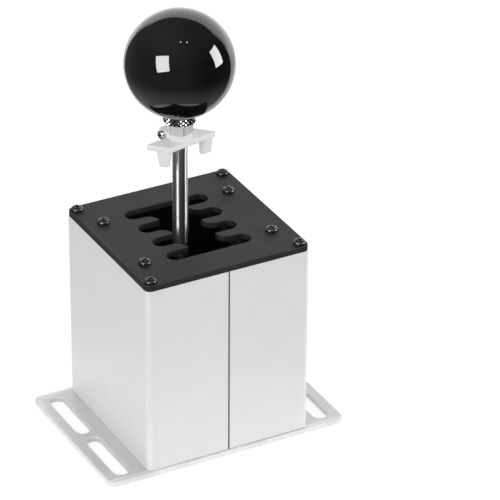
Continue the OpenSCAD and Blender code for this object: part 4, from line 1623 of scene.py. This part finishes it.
@dataclass
class Socket:
    """The data socket in the front wall: a folded shell with a tongue and its contacts."""

    mouth_width: float = 8.45 * MM
    mouth_height: float = 7.78 * MM
    mouth_depth: float = 10 * MM
    tongue_width: float = 5.6 * MM
    tongue_height: float = 3.2 * MM
    tongue_sink: float = 1 * MM
    tongue_root: float = 1 * MM
    tongue_corner: float = 0.3 * MM
    mouth_corner: float = 0.5 * MM
    shell_corner: float = 0.8 * MM
    edge: float = 0.3 * MM
    contact_width: float = 1.0 * MM
    contact_pitch: float = 2.5 * MM
    contact_proud: float = 0.12 * MM

    def build(self) -> None:
        """Makes the shell with its tongue, then the contacts."""
        room = NodeBox.of("usb_socket")
        middle = room.centre[1:]
        front = room.high[0]
        floor = front - self.mouth_depth
        mouth = np.array([self.mouth_width, self.mouth_height]) / 2
        tongue = np.array([self.tongue_width, self.tongue_height]) / 2
        skin = Skin()
        outer = Rim.rounded(room.low[0], front, self.edge)
        inner = Rim.steps([0, 0, self.edge], [floor, front - self.edge, front])
        outline = rectangle(room.low[1:], room.high[1:], self.shell_corner)
        hole = rectangle(middle - mouth, middle + mouth, self.mouth_corner)[::-1]
        walls = [outer.rings(supported(outline)), inner.rings(hole)]
        skin.grid(walls[0])
        skin.grid(walls[1])
        skin.cap([walls[0][0]])
        skin.cap([walls[1][0]])
        skin.cap([walls[0][-1], walls[1][-1]])
        blade = rectangle(middle - tongue, middle + tongue, self.tongue_corner)
        root, tip = floor - self.tongue_root, front - self.tongue_sink
        skin.prism(blade, Rim.rounded(root, tip, self.edge))
        skin.placed(ALONG_X)
        settle(skin.build("usb_socket_skin"), Body.HOUSING, Slot.ZINC_STEEL, "usb_socket")
        self._contacts(middle, tongue[1], floor, front - 2 * self.tongue_sink)

    def _contacts(self, middle: Array, reach: float, floor: float, tip: float) -> None:
        """Makes four strips of spring brass, two on each side of the tongue.

        Args:
            middle: The tongue's middle, across and up.
            reach: From there to the strips.
            floor: Where the strips start, along X.
            tip: Where they end.
        """
        half = np.array([self.contact_width / 2, self.contact_proud])
        rim = Rim.rounded(floor, tip, self.contact_proud / 2)
        skin = Skin()
        for place in SIGNS * (self.contact_pitch / 2, reach):
            strip = rectangle(middle + place - half, middle + place + half, self.contact_proud / 2)
            skin.prism(strip, rim)
        skin.placed(ALONG_X)
        settle(skin.build("usb_contacts"), Body.HOUSING, Slot.BUSH_BRASS)


# Stage


def aim(direction: Vector, roll: float) -> Matrix:
    """Axes whose +Z lies along a direction, with +X level but for a roll.

    Args:
        direction: A unit vector.
        roll: Turn about the direction in degrees.

    Returns:
        The turn from the world's axes to these.
    """
    side = Vector((0, 0, 1)).cross(direction).normalized()
    up = direction.cross(side)
    turn = math.radians(roll)
    right = side * math.cos(turn) + up * math.sin(turn)
    return Matrix((right, direction.cross(right), direction)).transposed().to_4x4()


@dataclass(frozen=True)
class SoftBox:
    """A rectangular lamp that shows in gloss alone, or lights what is dull alone.

    Attributes:
        direction: Where it hangs, seen from what it lights.
        size: Its width and height for each metre of its distance.
        roll: Its turn about that direction in degrees.
        distance: From what it lights.
    """

    direction: tuple[float, float, float]
    size: tuple[float, float]
    roll: float = 0.0
    distance: float = 2.4

    def build(self, name: str, radiance: float, in_gloss: bool, target: Vector) -> None:
        """Hangs the lamp: its power is pi times its radiance times its area.

        Args:
            name: The lamp's name.
            radiance: How bright it is.
            in_gloss: Whether it shows in gloss, and not on what is dull.
            target: What it lights.
        """
        lamp = bpy.data.lights.new(name, "AREA")
        lamp.shape = "RECTANGLE"
        lamp.size = self.size[0] * self.distance
        lamp.size_y = self.size[1] * self.distance
        lamp.energy = math.pi * radiance * lamp.size * lamp.size_y
        holder = bpy.data.objects.new(name, lamp)
        out = Vector(self.direction).normalized()
        holder.matrix_world = Matrix.Translation(target + out * self.distance) @ aim(out, self.roll)
        holder.visible_camera = False
        holder.visible_glossy = in_gloss
        holder.visible_diffuse = not in_gloss
        bpy.context.scene.collection.objects.link(holder)


@dataclass
class Studio:
    """The pale floor, the soft lamps, and the room that polished pieces reflect.

    Attributes:
        floor_reach: From the floor's middle to its sides.
        floor_drop: How far it lies under the object's foot.
        floor_colour: Its grey.
        floor_lift: What the eye sees added to its light, near the object.
        floor_fade: Distances over which it goes white.
        room_fill: The light on what is dull.
        room_left: The room's light at its left, in gloss.
        room_right: The room's light at its right, in gloss.
        room_turn: Where the one goes over into the other, along X.
        room_above: What is added overhead.
        room_rise: Where that is added, along Z.
        sweep_azimuth: Where the white sweep's middle stands, in degrees.
        sweep_light: Its light.
        sweep_side: Cosines from that middle over which its sides begin.
        crest_side: Cosines from that middle over which its crest climbs.
        crest_rise: The crest's heights there, along Z.
        crest_edge: Heights about the crest over which the sweep begins.
        flag_near: From the middle to the dark flag's inner edge.
        flag_height: Its height over the object's foot.
        flag_start: Azimuth of its one side in degrees.
        flag_end: Azimuth of its other side.
        flag_light: What lights it up near the object.
        flag_fade: Distances over which that fades.
        lamp_target: Height that the lamps point at.
        lamp_light: Radiance of the two small lamps.
        left_gloss: Radiance of the left softbox in gloss.
        right_gloss: Radiance of the right softbox in gloss.
        left_fill: Radiance of the left softbox on what is dull.
        right_fill: Radiance of the right softbox on what is dull.
    """

    floor_reach: float = 30.0
    floor_drop: float = 0.05 * MM
    floor_colour: float = 0.90
    floor_lift: float = 0.36
    floor_fade: tuple[float, float] = (0.6, 1.6)
    room_fill: float = 0.70
    room_left: float = 0.16
    room_right: float = 0.04
    room_turn: tuple[float, float] = (-0.4, 0.4)
    room_above: float = 0.12
    room_rise: tuple[float, float] = (0.2, 0.9)
    sweep_azimuth: float = 142.5
    sweep_light: float = 1.5
    sweep_side: tuple[float, float] = (0.66, 0.76)
    crest_side: tuple[float, float] = (0.7, 1.0)
    crest_rise: tuple[float, float] = (0.42, 0.68)
    crest_edge: tuple[float, float] = (-0.06, -0.02)
    flag_near: float = 0.12
    flag_height: float = 1 * MM
    flag_start: float = -172.0
    flag_end: float = 97.0
    flag_light: float = 0.33
    flag_fade: tuple[float, float] = (0.18, 0.5)
    lamp_target: float = 120 * MM
    lamp_light: float = 20.0
    left_gloss: float = 13.0
    right_gloss: float = 12.0
    left_fill: float = 3.0
    right_fill: float = 4.5

    def build(self) -> None:
        """Sets up the stage."""
        bpy.context.scene.view_settings.view_transform = "Standard"
        self._world()
        self._floor()
        self._flag()
        self._lamps()

    def _lamps(self) -> None:
        """Hangs two softboxes, each as a lamp for gloss and one for the rest, and two small lamps."""
        target = Vector((0, 0, self.lamp_target))
        left = SoftBox((-0.834, -0.387, 0.393), (0.476, 0.548), 19.5)
        right = SoftBox((0.852, -0.457, 0.254), (0.38, 0.52), -3.0)
        small = (0.03, 0.03)
        left.build("left_softbox", self.left_gloss, True, target)
        right.build("right_softbox", self.right_gloss, True, target)
        SoftBox((-0.112, -0.292, 0.95), small).build("left_lamp", self.lamp_light, True, target)
        SoftBox((0.073, -0.37, 0.926), small).build("right_lamp", self.lamp_light, True, target)
        left.build("left_fill", self.left_fill, False, target)
        right.build("right_fill", self.right_fill, False, target)

    def _seen(self, graph: Graph) -> bpy.types.NodeSocket:
        """What the camera sees, by itself, in gloss or through glass.

        Args:
            graph: The node tree that it is read in.

        Returns:
            1 for a ray of these kinds, otherwise 0.
        """
        path = graph.add("ShaderNodeLightPath", {})
        direct = graph.maths("ADD", path.outputs["Is Camera Ray"], path.outputs["Is Glossy Ray"])
        total = graph.maths("ADD", direct, path.outputs["Is Transmission Ray"])
        return graph.maths("MINIMUM", total, 1.0)

    def _floor(self) -> None:
        """A large level floor, a little brighter to the eye than its light, white far off."""
        reach = self.floor_reach
        ring = np.array([(-1, -1), (1, -1), (1, 1), (-1, 1)]) * reach
        skin = Skin()
        skin.cap([np.column_stack([ring, np.full(4, -self.floor_drop)])])
        floor = skin.build("floor")
        white = bpy.data.materials.new("floor_white")
        graph = Graph(white)
        place = graph.add("ShaderNodeTexCoord", {}).outputs["Object"]
        away = graph.vector("LENGTH", place).outputs["Value"]
        lift = graph.span(away, self.floor_fade, (self.floor_lift, 1.0))
        graph.feed(graph.shader, {
            "Base Color": opaque((self.floor_colour,) * 3),
            "Roughness": 1.0,
            "Specular IOR Level": 0.0,
            "Emission Color": (1.0, 1.0, 1.0, 1.0),
            "Emission Strength": graph.maths("MULTIPLY", lift, self._seen(graph)),
        })
        floor.data.materials.append(white)

    def _flag(self) -> None:
        """A dark sheet just over the floor, seen only in reflections, open towards the sweep.

        Its light is flag_light times the square of how near the object it is, and the room's.
        """
        turn = np.radians(np.linspace(self.flag_start, self.flag_end, 97))
        reach = np.array([self.flag_near, self.floor_reach])[:, None]
        x = reach * np.sin(turn)
        y = -reach * np.cos(turn)
        ring = np.stack([x, y, np.full(x.shape, self.flag_height)], axis=-1)
        skin = Skin()
        skin.cap([np.concatenate([ring[0], ring[1][::-1]])])
        flag = skin.build("dark_flag")
        dark = bpy.data.materials.new("flag_dark")
        graph = Graph(dark)
        place = graph.add("ShaderNodeTexCoord", {}).outputs["Object"]
        away = graph.vector("LENGTH", place).outputs["Value"]
        close = graph.maths("POWER", graph.span(away, self.flag_fade, (1, 0)), 2.0)
        glow = graph.maths("MULTIPLY", close, self.flag_light)
        axes = graph.add("ShaderNodeSeparateXYZ", {0: place}).outputs
        heading = graph.maths("DIVIDE", axes["X"], away)
        side = graph.span(heading, self.room_turn, (self.room_left, self.room_right))
        graph.feed(graph.shader, {
            "Base Color": opaque((0.0,) * 3),
            "Specular IOR Level": 0.0,
            "Emission Color": (1.0, 1.0, 1.0, 1.0),
            "Emission Strength": graph.maths("ADD", glow, side),
        })
        flag.data.materials.append(dark)
        flag.visible_camera = False
        flag.visible_diffuse = False
        flag.visible_shadow = False
        flag.visible_transmission = False

    def _world(self) -> None:
        """A dim room with a white sweep behind the object, and white to the camera."""
        world = bpy.data.worlds.new("studio")
        bpy.context.scene.world = world
        graph = Graph(world, "Background")
        way = graph.add("ShaderNodeTexCoord", {}).outputs["Generated"]
        axes = graph.add("ShaderNodeSeparateXYZ", {0: way}).outputs
        level = graph.vector("MULTIPLY", way, (1, 1, 0))
        level = graph.vector("NORMALIZE", level.outputs["Vector"])
        turn = math.radians(self.sweep_azimuth)
        middle = (math.sin(turn), -math.cos(turn), 0)
        facing = graph.vector("DOT_PRODUCT", level.outputs["Vector"], middle).outputs["Value"]
        sector = graph.span(facing, self.sweep_side, (0, 1))
        crest = graph.span(facing, self.crest_side, self.crest_rise)
        below = graph.span(graph.maths("SUBTRACT", crest, axes["Z"]), self.crest_edge, (0, 1))
        side = graph.span(axes["X"], self.room_turn, (self.room_left, self.room_right))
        above = graph.span(axes["Z"], self.room_rise, (0, self.room_above))
        room = graph.maths("ADD", side, above)
        sweep = graph.maths("MULTIPLY", sector, below)
        lights = {0: sweep, 2: room, 3: self.sweep_light}
        light = graph.add("ShaderNodeMix", lights, data_type="FLOAT").outputs[0]
        path = graph.add("ShaderNodeLightPath", {}).outputs
        lights = {0: path["Is Diffuse Ray"], 2: light, 3: self.room_fill}
        light = graph.add("ShaderNodeMix", lights, data_type="FLOAT").outputs[0]
        graph.feed(graph.shader, {
            "Color": (1.0, 1.0, 1.0, 1.0),
            "Strength": graph.maths("MAXIMUM", light, path["Is Camera Ray"]),
        })


@dataclass(frozen=True)
class Camera:
    """The camera, fitted to the outlines of the body, the base plate and the lever."""

    azimuth: float = -28.372
    elevation: float = 29.67
    roll: float = 0.343
    focal_pixels: float = 3604.7
    frame_pixels: float = 500.0
    sensor: float = 36.0
    target_height: float = 90 * MM
    pan: tuple[float, float] = (34.641 * MM, 13.731 * MM)
    distance: float = 2000.4 * MM

    def build(self) -> None:
        """Puts the camera up and makes it the scene's."""
        az, el = math.radians(self.azimuth), math.radians(self.elevation)
        back = Vector((math.sin(az) * math.cos(el), -math.cos(az) * math.cos(el), math.sin(el)))
        axes = aim(back, self.roll)
        lens = bpy.data.cameras.new("camera")
        lens.sensor_width = self.sensor
        lens.lens = self.focal_pixels / self.frame_pixels * self.sensor
        holder = bpy.data.objects.new("camera", lens)
        shift = axes @ Vector((*self.pan, self.distance))
        holder.matrix_world = Matrix.Translation(Vector((0, 0, self.target_height)) + shift) @ axes
        bpy.context.scene.collection.objects.link(holder)
        bpy.context.scene.camera = holder


def dress_frame() -> None:
    """Gives each node of the frame that still shows the finish of its slot, or the near black one that
    paints shade within the body.
    """
    for part in frame["record"]["subparts"]:
        shown = frame["nodes"][part["node"]]
        slot = Slot.HUB_STEEL if part["node"] in BLACKENED else Slot(part["material_slot"])
        material = FINISHES[slot].material()
        for place in shown.material_slots:
            place.material = material
        if not shown.material_slots:
            shown.data.materials.append(material)


def main() -> None:
    """Builds the stage, then each sub-assembly in order."""
    logging.basicConfig(level=logging.INFO, format="%(message)s")
    Studio().build()
    Camera().build()
    dress_frame()
    for assembly in (BasePlate(), BodyShell(), GatePlate(), GateScrews(), Lever(), SequentialLock(),
                     Springs(), Socket()):
        assembly.build()


if __name__ == "__main__":
    main()
